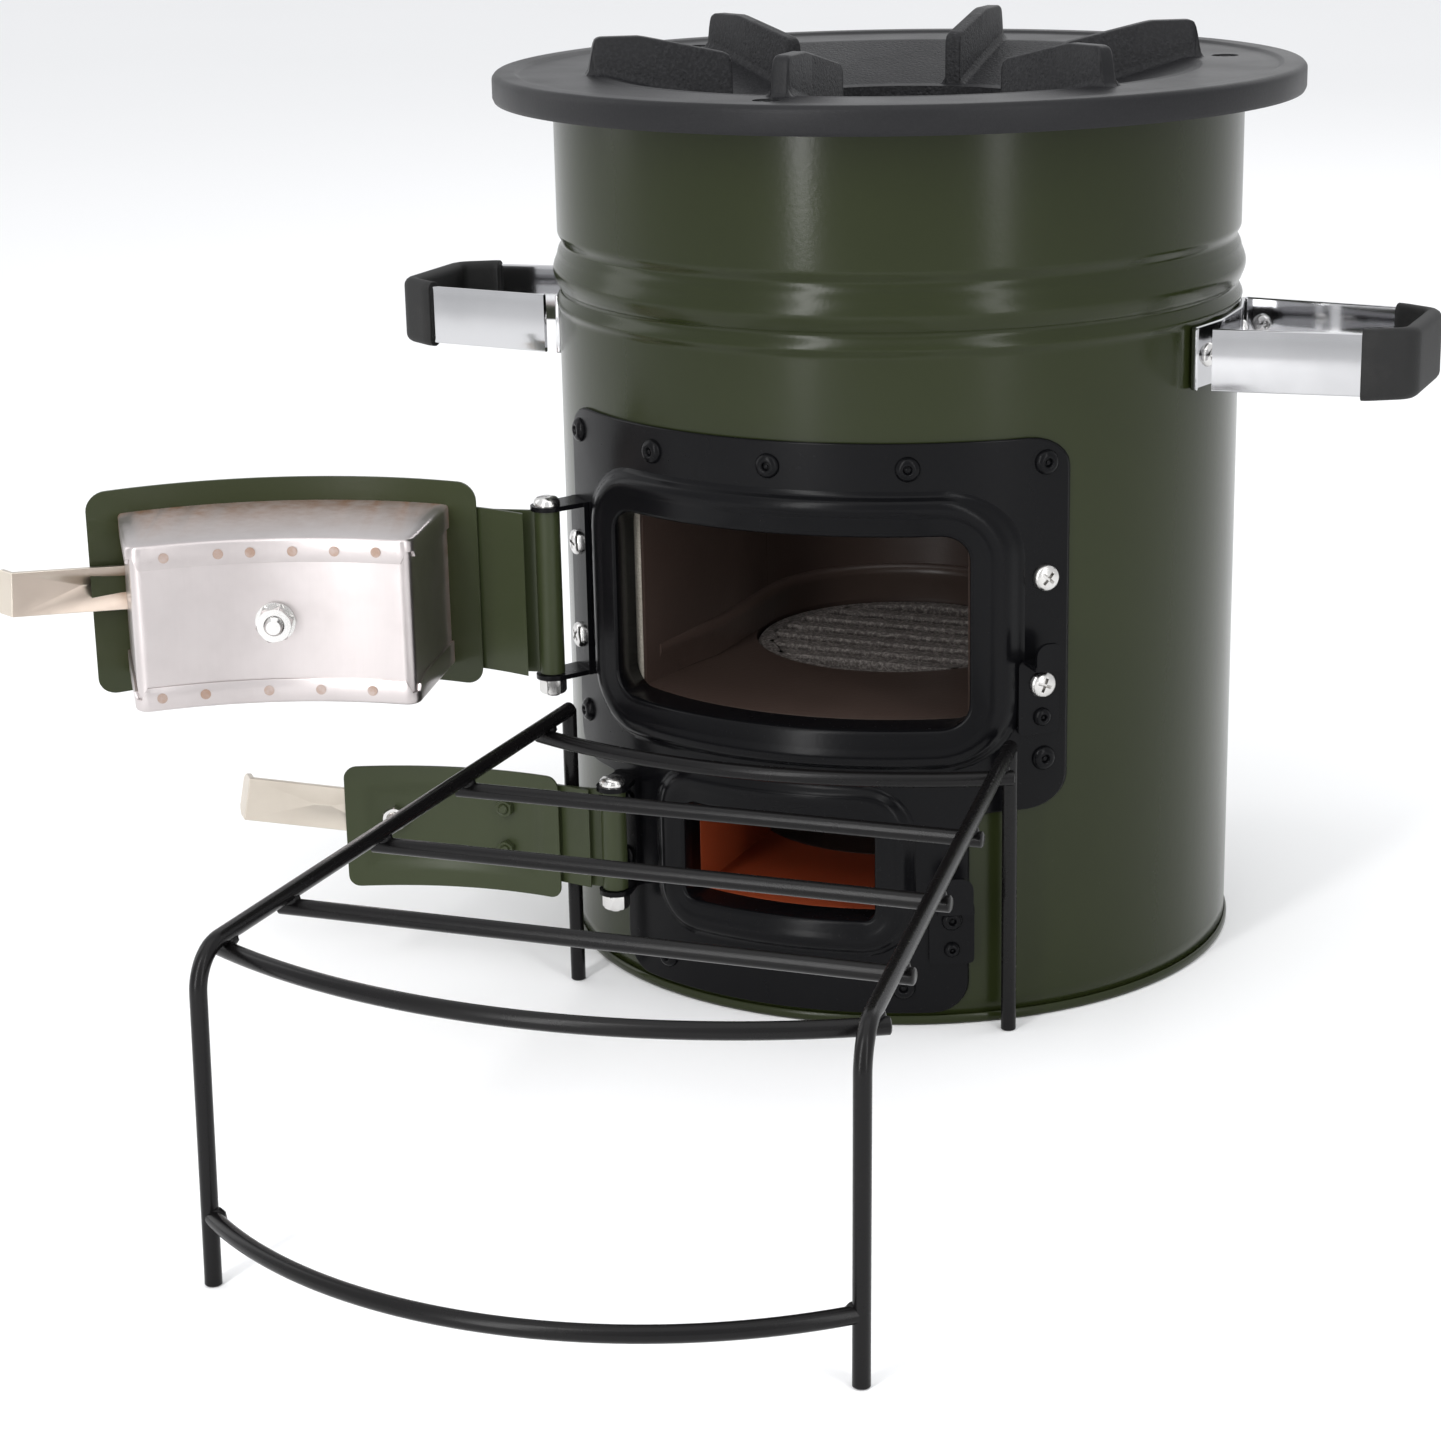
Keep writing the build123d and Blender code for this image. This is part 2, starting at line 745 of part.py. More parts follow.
def make_air_pivot():
    inner = skin_r() + air_field_deep - seat_slack
    outer = lever_seat() + lever_thick + lever_play / 4
    body = post(pin_r, air_lever_root, air_lever_z, inner - 4, outer)
    collar_r = skin_r() + door_skin + air_field_deep + seat_slack
    body += post(4.4, air_lever_root, air_lever_z, collar_r, lever_seat() - lever_play)
    body += extrude(outward(inner - 3, air_lever_root, air_lever_z) * RegularPolygon(4.4, 6), 3)
    return body + extrude(outward(outer, air_lever_root, air_lever_z) * Circle(5), 2)


# ---------------------------------------------------------------- handles
def handle_outline(inset):
    """Closed loop of the handle strap in plan, on the +X side."""
    root_x = math.sqrt(drum_r ** 2 - handle_half ** 2)
    half = handle_half - inset
    tip = handle_tip_half - inset
    out = handle_out - inset
    path = Polyline((root_x - 6, half), (handle_neck_x, tip + 2), (out, tip - 6), (out, -tip + 6),
                    (handle_neck_x, -tip - 2), (root_x - 6, -half), close=True)
    face = make_face(path)
    bends = [v for v in face.vertices() if v.X > root_x + 1]
    return fillet(bends, handle_bend)


def make_handle(side):
    tall = handle_high - handle_low
    outer = Pos(0, 0, handle_low) * extrude(handle_outline(0), tall) - disc(drum_r, 0, 300)
    inner = Pos(0, 0, handle_low - 1) * extrude(handle_outline(handle_strap), tall + 2)
    strap = outer - (inner - disc(drum_r + handle_strap, 0, 300))
    strap = strap if side > 0 else mirror(strap, Plane.YZ)
    return strap - wall_holes()


def make_grip(side):
    tall = handle_high - handle_low
    reach = Pos(handle_out + 6, 0, handle_mid()) * Box(44, 2 * (handle_tip_half + grip_over), tall + 2 * grip_over)
    outer = Pos(0, 0, handle_low - grip_over / 2) * extrude(offset(handle_outline(0), grip_over / 2), tall + grip_over)
    inner = Pos(0, 0, handle_low - 10) * extrude(handle_outline(handle_strap + grip_over), tall + 20)
    hollow = Pos(0, 0, handle_low) * extrude(handle_outline(0), tall)
    hollow -= Pos(0, 0, handle_low - 1) * extrude(handle_outline(handle_strap), tall + 2)
    grip = ((outer & reach) - inner) - hollow
    return grip if side > 0 else mirror(grip, Plane.YZ)


def make_handle_rivets(side):
    seat = drum_r + handle_strap
    spots = [90 * side + math.degrees(y / drum_r) for y in (-handle_rivet_half, handle_rivet_half)]
    return [rivet(angle, handle_mid(), seat) for angle in spots]


# ---------------------------------------------------------------- fuel shelf
def rail_x(side, along):
    """Where a side rail's axis lies at a distance from the shelf's rear."""
    half = shelf_rear_half + along * math.tan(math.radians(shelf_splay))
    return side * half + shelf_skew * along


def rod(path):
    """Round wire along a path."""
    return sweep(Plane(origin=path @ 0, z_dir=path % 0) * Circle(rod_r), path)


def shelf_rail(side):
    """Side rail that turns down into the front leg."""
    lean = (shelf_top - rod_r) * math.tan(math.radians(shelf_front_lean))
    rear = Vector(rail_x(side, 0), 0, shelf_top)
    knee = Vector(rail_x(side, shelf_long), -shelf_long, shelf_top)
    foot = Vector(rail_x(side, shelf_long), -shelf_long - lean, 0)
    return rod(FilletPolyline(rear, knee, foot, radius=shelf_bend)) & shelf_room()


def shelf_room():
    """Everything above the floor."""
    return Pos(0, 0, 100) * Box(600, 900, 200)


def rear_leg(side):
    return Pos(rail_x(side, 0), 0, shelf_top / 2) * Cylinder(rod_r, shelf_top)


def cross_bar(along):
    z = shelf_top - bar_drop
    return rod(Line((rail_x(-1, along) - bar_over, -along, z), (rail_x(1, along) + bar_over, -along, z)))


def bowed_bar(along, z, bow, ends, over=0.0):
    """Bar that bows forwards between the rails, or between the legs at another height."""
    left = rail_x(-1, ends) - over
    right = rail_x(1, ends) + over
    return rod(ThreePointArc((left, -along, z), ((left + right) / 2, -along - bow, z), (right, -along, z)))


def tie_bar():
    """Low bowed bar between the front legs."""
    lean = (shelf_top - tie_z) * math.tan(math.radians(shelf_front_lean))
    return bowed_bar(shelf_long + lean, tie_z, tie_bow, shelf_long)


def placed_shelf(shape):
    return Pos(shelf_rear_x, shelf_rear_y, 0) * Rot(0, 0, shelf_turn) * shape


def make_shelf():
    """All shelf wires; each one ends where it meets the wire it is welded to."""
    rails = {"left": shelf_rail(-1), "right": shelf_rail(1)}
    parts = {f"shelf_{name}_rail": rail for name, rail in rails.items()}
    both = rails["left"] + rails["right"]
    parts["shelf_left_rear_leg"] = rear_leg(-1) - both
    parts["shelf_right_rear_leg"] = rear_leg(1) - both
    for number, along in enumerate(shelf_bars, 1):
        parts[f"shelf_bar_{number}"] = cross_bar(along) - both
    under = shelf_top - bar_drop
    front = bowed_bar(shelf_front_bar, under, shelf_front_bow, shelf_front_bar, bar_over)
    parts["shelf_front_bar"] = front - both
    rear = bowed_bar(shelf_rear_bar, under, shelf_rear_bow, shelf_rear_bar, bar_over)
    parts["shelf_rear_bar"] = rear - both
    parts["shelf_tie_bar"] = tie_bar() - both
    return {name: placed_shelf(largest(shape)) for name, shape in parts.items()}


def largest(shape):
    """The main piece of a cut wire."""
    return shape.solids().sort_by(SortBy.VOLUME)[-1]


# ---------------------------------------------------------------- assembly
def drum_parts():
    return {
        "base_pan": make_base_pan(),
        "body_shell": make_body_shell(),
        "insulation": make_insulation(),
        "insulation_cover": make_insulation_cover(),
        "riser": make_riser(),
        "fire_cup": make_fire_cup(),
        "fuel_duct": make_fuel_duct(),
        "air_duct": make_air_duct(),
        "grate": make_grate(),
        "cooktop": make_cooktop(),
        "cooktop_screws": [hold_down_screw(angle) for angle in hold_down_angles],
        "cooktop_brackets": [hold_down_bracket(angle) for angle in hold_down_angles],
    }


def front_parts():
    seat = drum_r + plate_thick
    holes = wall_holes()
    catch_seat = seat + catch_thick
    return {
        "door_frame": make_door_frame(),
        "frame_rivets": [rivet(angle, z, seat) for angle, z in frame_rivets],
        "frame_screw": screw(*plate_screw, seat),
        "fuel_catch": make_catch(fuel_catch, fuel_catch_tab_wide, holes),
        "fuel_catch_screw": screw(*fuel_catch_screw, catch_seat),
        "fuel_catch_rivet": rivet(*fuel_catch_rivet, catch_seat, small_rivet_r),
        "air_catch": make_catch(air_catch, air_catch_tab_wide, holes),
        "air_catch_rivets": [rivet(angle, z, catch_seat, small_rivet_r) for angle, z in air_catch_rivets],
    }


def hinge_parts():
    holes = wall_holes()
    ear_seat = drum_r + plate_thick + ear_thick
    fuel = (fuel_hinge_r, fuel_hinge_angle)
    air = (air_hinge_r, air_hinge_angle)
    return {
        "fuel_hinge_bracket": make_bracket(*fuel, fuel_ear_low, fuel_ear_high, fuel_screws[0][0], 6.5) - holes,
        "fuel_hinge_screws": [screw(angle, z, ear_seat) for angle, z in fuel_screws],
        "fuel_hinge_pin": make_pin(*fuel, fuel_ear_low, fuel_ear_high),
        "fuel_hinge_nut": make_pin_nut(*fuel, fuel_ear_low),
        "air_hinge_bracket": make_bracket(*air, air_ear_low, air_ear_high, air_rivets[0][0], 6.0) - holes,
        "air_hinge_rivets": [rivet(angle, z, ear_seat) for angle, z in air_rivets],
        "air_hinge_pin": make_pin(*air, air_ear_low, air_ear_high),
        "air_hinge_nut": make_pin_nut(*air, air_ear_low),
    }


def fuel_door_parts():
    arm = make_arm(fuel_hinge_r, fuel_hinge_angle, fuel_ear_low + ear_play, fuel_ear_high - ear_play, -35, -40,
                   skin_r() + door_skin)
    parts = {
        "fuel_door_panel": make_fuel_panel(),
        "fuel_door_arm": arm,
        "plug_box": make_plug_box(),
        "plug_fill": make_plug_fill(),
        "fuel_door_bolt": make_fuel_bolt(),
        "fuel_door_nut": make_fuel_nut(),
        "fuel_latch_lever": make_fuel_lever(),
    }
    return {name: fuel_swung(shape) for name, shape in parts.items()}


def air_door_parts():
    arm = make_arm(air_hinge_r, air_hinge_angle, air_ear_low + ear_play, air_ear_high - ear_play, -20, -14,
                   skin_r() + door_skin + air_field_deep)
    parts = {
        "air_door_panel": make_air_panel(),
        "air_door_arm": arm - air_arm_holes(),
        "air_door_nuts": Compound(children=make_air_arm_nuts()),
        "air_lever_pivot": make_air_pivot(),
        "air_latch_lever": make_air_lever(),
    }
    return {name: air_swung(shape) for name, shape in parts.items()}


def handle_parts():
    parts = {}
    for name, side in (("left", -1), ("right", 1)):
        parts[f"{name}_handle"] = make_handle(side)
        parts[f"{name}_grip"] = make_grip(side)
        parts[f"{name}_handle_rivets"] = make_handle_rivets(side)
    return parts


def main():
    os.makedirs("parts", exist_ok=True)
    parts = {}
    for group in (drum_parts, front_parts, hinge_parts, fuel_door_parts, air_door_parts, handle_parts, make_shelf):
        parts.update(group())
    for name, shape in parts.items():
        solids = Compound(children=shape) if isinstance(shape, list) else shape
        export_step(solids, f"parts/{name}.step")


main()
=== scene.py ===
"""Rocket stove: camera, studio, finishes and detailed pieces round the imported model."""

import logging
import math
from dataclasses import dataclass
from enum import Enum
from typing import Callable, Optional, Sequence

import bmesh
import bpy
from mathutils import Matrix, Vector
from mathutils.geometry import delaunay_2d_cdt


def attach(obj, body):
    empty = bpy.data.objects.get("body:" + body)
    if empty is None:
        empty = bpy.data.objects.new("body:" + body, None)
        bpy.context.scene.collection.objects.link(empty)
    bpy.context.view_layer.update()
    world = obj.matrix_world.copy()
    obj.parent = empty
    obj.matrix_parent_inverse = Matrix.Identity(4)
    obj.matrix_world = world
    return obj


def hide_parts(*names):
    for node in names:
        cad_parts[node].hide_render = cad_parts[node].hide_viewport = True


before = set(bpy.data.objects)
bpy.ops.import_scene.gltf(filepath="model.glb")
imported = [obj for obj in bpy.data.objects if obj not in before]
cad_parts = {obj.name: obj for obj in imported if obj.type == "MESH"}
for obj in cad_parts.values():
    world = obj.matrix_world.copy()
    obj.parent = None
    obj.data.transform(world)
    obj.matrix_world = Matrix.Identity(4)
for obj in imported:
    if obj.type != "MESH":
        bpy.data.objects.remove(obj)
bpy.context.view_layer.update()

log = logging.getLogger("stove")
MM = 0.001
Point = tuple[float, float]
Loop = list[Point]
Placer = Callable[[float, float, float], Vector]


class Body(Enum):
    """The moving groups that pieces ride on."""

    STOVE = "stove"
    GRATE = "grate"
    FUEL_DOOR = "fuel_door"
    FUEL_LEVER = "fuel_lever"
    AIR_DOOR = "air_door"
    AIR_LEVER = "air_lever"
    SHELF = "fuel_shelf"


# ---------------------------------------------------------------- places
def turned(radius: float, angle: float, z: float = 0.0) -> Vector:
    """Point at a radius and an angle from the front, in millimetres."""
    turn = math.radians(angle)
    return Vector((radius * math.sin(turn), -radius * math.cos(turn), z))


def outward(radius: float, angle: float, z: float) -> Matrix:
    """Frame on the drum whose z axis points away from its axis and whose y axis points up."""
    turn = math.radians(angle)
    place = Matrix(((math.cos(turn), 0, math.sin(turn)), (math.sin(turn), 0, -math.cos(turn)), (0, 1, 0))).to_4x4()
    place.translation = turned(radius, angle, z)
    return place


def upright(x: float, y: float, z: float) -> Matrix:
    """Frame at a point with its z axis up."""
    return Matrix.Translation((x, y, z))


def onto(radius: float) -> Placer:
    """Maps a flat drawing seen from the front onto a cylinder of that radius."""

    def place(x: float, z: float, proud: float) -> Vector:
        """Point on the cylinder."""
        outer = radius + proud
        return Vector((x, -math.sqrt(max(outer * outer - x * x, 1.0)), z))

    return place


def swing(radius: float, angle: float, by: float) -> Matrix:
    """Turn of a shut door about its hinge to where it stands open."""
    spot = turned(radius, angle)
    return Matrix.Translation(spot) @ Matrix.Rotation(math.radians(-by), 4, "Z") @ Matrix.Translation(-spot)


def tilt(radius: float, angle: float, z: float, by: float) -> Matrix:
    """Turn of a lever about its pivot, the end going up for a positive angle."""
    spot = turned(radius, angle, z)
    axis = turned(1.0, angle)
    return Matrix.Translation(spot) @ Matrix.Rotation(math.radians(by), 4, axis) @ Matrix.Translation(-spot)


# ---------------------------------------------------------------- drawings
def rounded(x0: float, x1: float, z0: float, z1: float, radius: float,
            corner_steps: int = 6, cells: tuple[int, int] = (12, 4)) -> Loop:
    """Rounded rectangle with a fixed number of points, anticlockwise from the lower left corner."""
    loop: Loop = []
    corners = [(x0 + radius, z0 + radius, 180), (x1 - radius, z0 + radius, 270),
               (x1 - radius, z1 - radius, 0), (x0 + radius, z1 - radius, 90)]
    for number, (cx, cz, start) in enumerate(corners):
        for step in range(corner_steps + 1):
            turn = math.radians(start + 90 * step / corner_steps)
            loop.append((cx + radius * math.cos(turn), cz + radius * math.sin(turn)))
        nx, nz, after = corners[(number + 1) % 4]
        turn = math.radians(after)
        goal = (nx + radius * math.cos(turn), nz + radius * math.sin(turn))
        last = loop[-1]
        count = cells[number % 2]
        for step in range(1, count):
            share = step / count
            loop.append((last[0] + (goal[0] - last[0]) * share, last[1] + (goal[1] - last[1]) * share))
    return loop


def softened(corners: Sequence[tuple[float, float, float]], steps: int = 6, span: float = 6.0) -> Loop:
    """Closed outline from corners with their own rounding radius, straight runs divided.

    Args:
        corners: x, z and rounding radius of each corner, in order.
        steps: Points round each corner.
        span: Longest straight piece.

    Returns:
        The outline's points.
    """
    arcs: list[Loop] = []
    count = len(corners)
    for number, (x, z, radius) in enumerate(corners):
        here = Vector((x, z))
        before = (Vector(corners[number - 1][:2]) - here).normalized()
        after = (Vector(corners[(number + 1) % count][:2]) - here).normalized()
        if radius < 0.05:
            arcs.append([(x, z)])
            continue
        half = before.angle(after) / 2
        reach = radius / math.tan(half)
        centre = here + (before + after).normalized() * radius / math.sin(half)
        first = here + before * reach - centre
        last = here + after * reach - centre
        sweep = first.angle_signed(last)
        arc = []
        for step in range(steps + 1):
            turn = -sweep * step / steps
            arc.append((centre.x + first.x * math.cos(turn) - first.y * math.sin(turn),
                        centre.y + first.x * math.sin(turn) + first.y * math.cos(turn)))
        arcs.append(arc)
    loop: Loop = []
    for number, arc in enumerate(arcs):
        loop += arc
        start, goal = Vector(arc[-1]), Vector(arcs[(number + 1) % count][0])
        cuts = int((goal - start).length // span)
        for step in range(1, cuts + 1):
            spot = start.lerp(goal, step / (cuts + 1))
            loop.append((spot.x, spot.y))
    return loop


def circle(x: float, z: float, radius: float, steps: int = 20) -> Loop:
    """Round hole or disc."""
    turns = [2 * math.pi * step / steps for step in range(steps)]
    return [(x + radius * math.cos(turn), z + radius * math.sin(turn)) for turn in turns]


def inside(x: float, z: float, loop: Loop) -> bool:
    """True if a point lies in a closed outline."""
    hit = False
    for number, (ax, az) in enumerate(loop):
        bx, bz = loop[number - 1]
        if (az > z) != (bz > z) and x < (bx - ax) * (z - az) / (bz - az) + ax:
            hit = not hit
    return hit


def arc_path(start: Vector, middle: Vector, end: Vector, steps: int = 40) -> list[Vector]:
    """Points on the circle through three points at one height."""
    a, b, c = start.xy, middle.xy, end.xy
    d = 2 * (a.x * (b.y - c.y) + b.x * (c.y - a.y) + c.x * (a.y - b.y))
    ux = (a.length_squared * (b.y - c.y) + b.length_squared * (c.y - a.y) + c.length_squared * (a.y - b.y)) / d
    uy = (a.length_squared * (c.x - b.x) + b.length_squared * (a.x - c.x) + c.length_squared * (b.x - a.x)) / d
    centre = Vector((ux, uy))
    first, last = a - centre, c - centre
    sweep = first.angle_signed(last)
    path = []
    for step in range(steps + 1):
        turn = -sweep * step / steps
        path.append(Vector((centre.x + first.x * math.cos(turn) - first.y * math.sin(turn),
                            centre.y + first.x * math.sin(turn) + first.y * math.cos(turn), start.z)))
    return path


# ---------------------------------------------------------------- mesh building
class Form:
    """A mesh in the making, in millimetres."""

    def __init__(self) -> None:
        """Starts an empty mesh."""
        self.mesh = bmesh.new()

    def skin(self, rows: Sequence[Sequence[Vector]], around: bool = True, loop: bool = False,
             capped: bool = False) -> "Form":
        """Joins rows of points with faces.

        Args:
            rows: Rows with the same number of points.
            around: Whether each row closes on itself.
            loop: Whether the last row joins the first.
            capped: Whether the first and last rows are filled.

        Returns:
            This form.
        """
        made = [[self.mesh.verts.new(point) for point in row] for row in rows]
        count = len(made[0])
        pairs = list(zip(made, made[1:])) + ([(made[-1], made[0])] if loop else [])
        for low, high in pairs:
            for number in range(count if around else count - 1):
                after = (number + 1) % count
                self.mesh.faces.new((low[number], low[after], high[after], high[number]))
        if capped:
            self.mesh.faces.new(list(reversed(made[0])))
            self.mesh.faces.new(made[-1])
        return self

    def lathe(self, profile: Sequence[Point], place: Optional[Matrix] = None, steps: int = 32,
              loop: bool = False) -> "Form":
        """Turns a profile of radius and height about the place's z axis; radius 0 closes an end."""
        place = place or Matrix.Identity(4)
        turns = [2 * math.pi * step / steps for step in range(steps)]
        rows = []
        for radius, high in profile:
            wide = max(radius, 0.02)
            rows.append([place @ Vector((wide * math.cos(t), wide * math.sin(t), high)) for t in turns])
        return self.skin(rows, loop=loop, capped=not loop)

    def sheet(self, outline: Loop, holes: Sequence[Loop], place: Placer, thick: float,
              pitch: tuple[float, float] = (5.0, 14.0)) -> "Form":
        """Sheet of even thickness from a flat drawing, bent by its placer.

        Args:
            outline: Outer edge.
            holes: Edges of the holes.
            place: Gives the point for x, z and the height above the inner face.
            thick: Thickness.
            pitch: Spacing of the points inside, along x and z.

        Returns:
            This form.
        """
        points: list[Vector] = []
        edges: list[tuple[int, int]] = []
        for loop in (outline, *holes):
            start = len(points)
            points += [Vector(point) for point in loop]
            edges += [(start + n, start + (n + 1) % len(loop)) for n in range(len(loop))]
        rim = len(points)
        low_x, high_x = min(p.x for p in points), max(p.x for p in points)
        low_z, high_z = min(p.y for p in points), max(p.y for p in points)
        clear = 0.35 * pitch[0]
        across = max(int((high_x - low_x) / pitch[0]), 1)
        upward = max(int((high_z - low_z) / pitch[1]), 1)
        for i in range(1, across):
            for j in range(1, upward):
                spot = Vector((low_x + (high_x - low_x) * i / across, low_z + (high_z - low_z) * j / upward))
                if not inside(spot.x, spot.y, outline) or any(inside(spot.x, spot.y, hole) for hole in holes):
                    continue
                if all((spot - point).length > clear for point in points[:rim]):
                    points.append(spot)
        flat, _, faces, _, _, _ = delaunay_2d_cdt(points, edges, [], 0, 1e-4)
        front = [self.mesh.verts.new(place(p.x, p.y, thick)) for p in flat]
        back = [self.mesh.verts.new(place(p.x, p.y, 0.0)) for p in flat]
        seen: dict[tuple[int, int], int] = {}
        for face in faces:
            cx = sum(flat[n].x for n in face) / len(face)
            cz = sum(flat[n].y for n in face) / len(face)
            if not inside(cx, cz, outline) or any(inside(cx, cz, hole) for hole in holes):
                continue
            self.mesh.faces.new([front[n] for n in face])
            self.mesh.faces.new([back[n] for n in reversed(face)])
            for number, a in enumerate(face):
                b = face[(number + 1) % len(face)]
                seen[(a, b)] = 1
        for a, b in seen:
            if (b, a) not in seen:
                self.mesh.faces.new((front[b], front[a], back[a], back[b]))
        loose = [vert for vert in self.mesh.verts if not vert.link_faces]
        bmesh.ops.delete(self.mesh, geom=loose, context="VERTS")
        return self

    def tube(self, path: Sequence[Vector], radius: float, sides: int = 16) -> "Form":
        """Round wire along a path with softened ends.

        Args:
            path: Centre line.
            radius: Wire radius.
            sides: Points round the wire.

        Returns:
            This form.
        """
        ahead = [(path[min(n + 1, len(path) - 1)] - path[max(n - 1, 0)]).normalized() for n in range(len(path))]
        side = ahead[0].orthogonal().normalized()
        rows: list[list[Vector]] = []
        for number, (spot, way) in enumerate(zip(path, ahead)):
            side = (side - way * side.dot(way)).normalized()
            other = way.cross(side)
            ends = [(0.8, -0.4), (1.0, 0.0)] if number == 0 else [(1.0, 0.0)]
            ends = [(1.0, 0.0), (0.8, 0.4)] if number == len(path) - 1 else ends
            for factor, shift in ends:
                rows.append([spot + way * shift + (side * math.cos(t) + other * math.sin(t)) * radius * factor
                             for t in (2 * math.pi * step / sides for step in range(sides))])
        return self.skin(rows, capped=True)

    def moved(self, matrix: Matrix) -> "Form":
        """Moves everything made so far."""
        bmesh.ops.transform(self.mesh, matrix=matrix, verts=self.mesh.verts)
        return self


# ---------------------------------------------------------------- shader arithmetic
class Wire:
    """A value socket that takes part in arithmetic."""

    def __init__(self, recipe: "Recipe", socket: bpy.types.NodeSocket) -> None:
        """Wraps a socket of a recipe's node tree."""
        self.recipe = recipe
        self.socket = socket

    def _math(self, operation: str, first: object, second: object) -> "Wire":
        """Adds a Math node for two values."""
        return self.recipe.node("ShaderNodeMath", {"operation": operation}, {0: first, 1: second}).out()

    def __add__(self, other: object) -> "Wire":
        """Sum."""
        return self._math("ADD", self, other)

    __radd__ = __add__

    def __sub__(self, other: object) -> "Wire":
        """Difference."""
        return self._math("SUBTRACT", self, other)

    def __rsub__(self, other: object) -> "Wire":
        """Difference the other way round."""
        return self._math("SUBTRACT", other, self)

    def __mul__(self, other: object) -> "Wire":
        """Product."""
        return self._math("MULTIPLY", self, other)

    __rmul__ = __mul__

    def steps(self, low: float, high: float) -> "Wire":
        """0 below low, 1 above high and a smooth rise between."""
        settings = {"interpolation_type": "SMOOTHSTEP", "clamp": True}
        return self.recipe.node("ShaderNodeMapRange", settings, {0: self, 1: low, 2: high, 3: 0.0, 4: 1.0}).out()


class Made:
    """A node that was added to a recipe."""

    def __init__(self, recipe: "Recipe", node: bpy.types.Node) -> None:
        """Keeps the node and its recipe."""
        self.recipe = recipe
        self.node = node

    def out(self, name: object = 0) -> Wire:
        """One of the node's outputs."""
        return Wire(self.recipe, self.node.outputs[name])


Colour = tuple[float, float, float]


class Recipe:
    """One material's node tree."""

    def __init__(self, name: str) -> None:
        """Starts a material with its main shader."""
        self.material = bpy.data.materials.new(name)
        self.material.use_nodes = True
        self.tree = self.material.node_tree
        self.shader = self.tree.nodes["Principled BSDF"]
        self.place = self.node("ShaderNodeTexCoord", {}, {}).out("Object")

    def node(self, kind: str, settings: dict[str, object], inputs: dict[object, object]) -> Made:
        """Adds a node.

        Args:
            kind: Node type.
            settings: Its own settings, a ramp's stops among them.
            inputs: Values or wires of its sockets.

        Returns:
            The node.
        """
        node = self.tree.nodes.new(kind)
        for name, value in settings.items():
            if name == "stops":
                self._stops(node.color_ramp, value)
            else:
                setattr(node, name, value)
        for name, value in inputs.items():
            if isinstance(value, Wire):
                self.tree.links.new(value.socket, node.inputs[name])
            else:
                node.inputs[name].default_value = value
        return Made(self, node)

    @staticmethod
    def _stops(ramp: bpy.types.ColorRamp, stops: Sequence[tuple[float, Colour]]) -> None:
        """Sets a colour ramp's stops."""
        while len(ramp.elements) > 1:
            ramp.elements.remove(ramp.elements[-1])
        for number, (spot, colour) in enumerate(stops):
            element = ramp.elements[0] if number == 0 else ramp.elements.new(spot)
            element.position = spot
            element.color = (*colour, 1.0)

    def noise(self, per_metre: float, detail: float = 3.0, rough: float = 0.5,
              stretch: Colour = (1.0, 1.0, 1.0)) -> Wire:
        """Noise with a size given as a frequency, stretched along the axes."""
        spot = self.place
        if stretch != (1.0, 1.0, 1.0):
            spot = self.node("ShaderNodeVectorMath", {"operation": "MULTIPLY"}, {0: spot, 1: stretch}).out()
        values = {"Vector": spot, "Scale": per_metre, "Detail": detail, "Roughness": rough}
        return self.node("ShaderNodeTexNoise", {}, values).out("Fac")

    def cells(self, per_metre: float) -> Wire:
        """Distance to the middles of random cells."""
        return self.node("ShaderNodeTexVoronoi", {}, {"Vector": self.place, "Scale": per_metre}).out("Distance")

    def painted(self, name: str) -> Wire:
        """A value stored on the mesh's points."""
        return self.node("ShaderNodeAttribute", {"attribute_name": name}, {}).out("Fac")

    def mix(self, share: object, first: object, second: object) -> Wire:
        """Colour between two colours."""
        sockets = {0: share, 6: self._four(first), 7: self._four(second)}
        return self.node("ShaderNodeMix", {"data_type": "RGBA"}, sockets).out(2)

    @staticmethod
    def _four(value: object) -> object:
        """A colour with its alpha, or the wire as it is."""
        return value if isinstance(value, Wire) else (*value, 1.0)

    def bump(self, height: Wire, depth_mm: float, strength: float = 1.0, under: Optional[Wire] = None) -> Wire:
        """Bump with a real depth, on top of another bump if given."""
        values: dict[object, object] = {"Height": height, "Distance": depth_mm * MM, "Strength": strength}
        if under is not None:
            values["Normal"] = under
        return self.node("ShaderNodeBump", {}, values).out()

    def dress(self, **values: object) -> bpy.types.Material:
        """Sets the main shader's sockets; names use underscores for spaces.

        Returns:
            The finished material.
        """
        for name, value in values.items():
            socket = self.shader.inputs[name.replace("_", " ")]
            if isinstance(value, Wire):
                self.tree.links.new(value.socket, socket)
            else:
                socket.default_value = (*value, 1.0) if isinstance(value, tuple) and len(value) == 3 else value
        return self.material


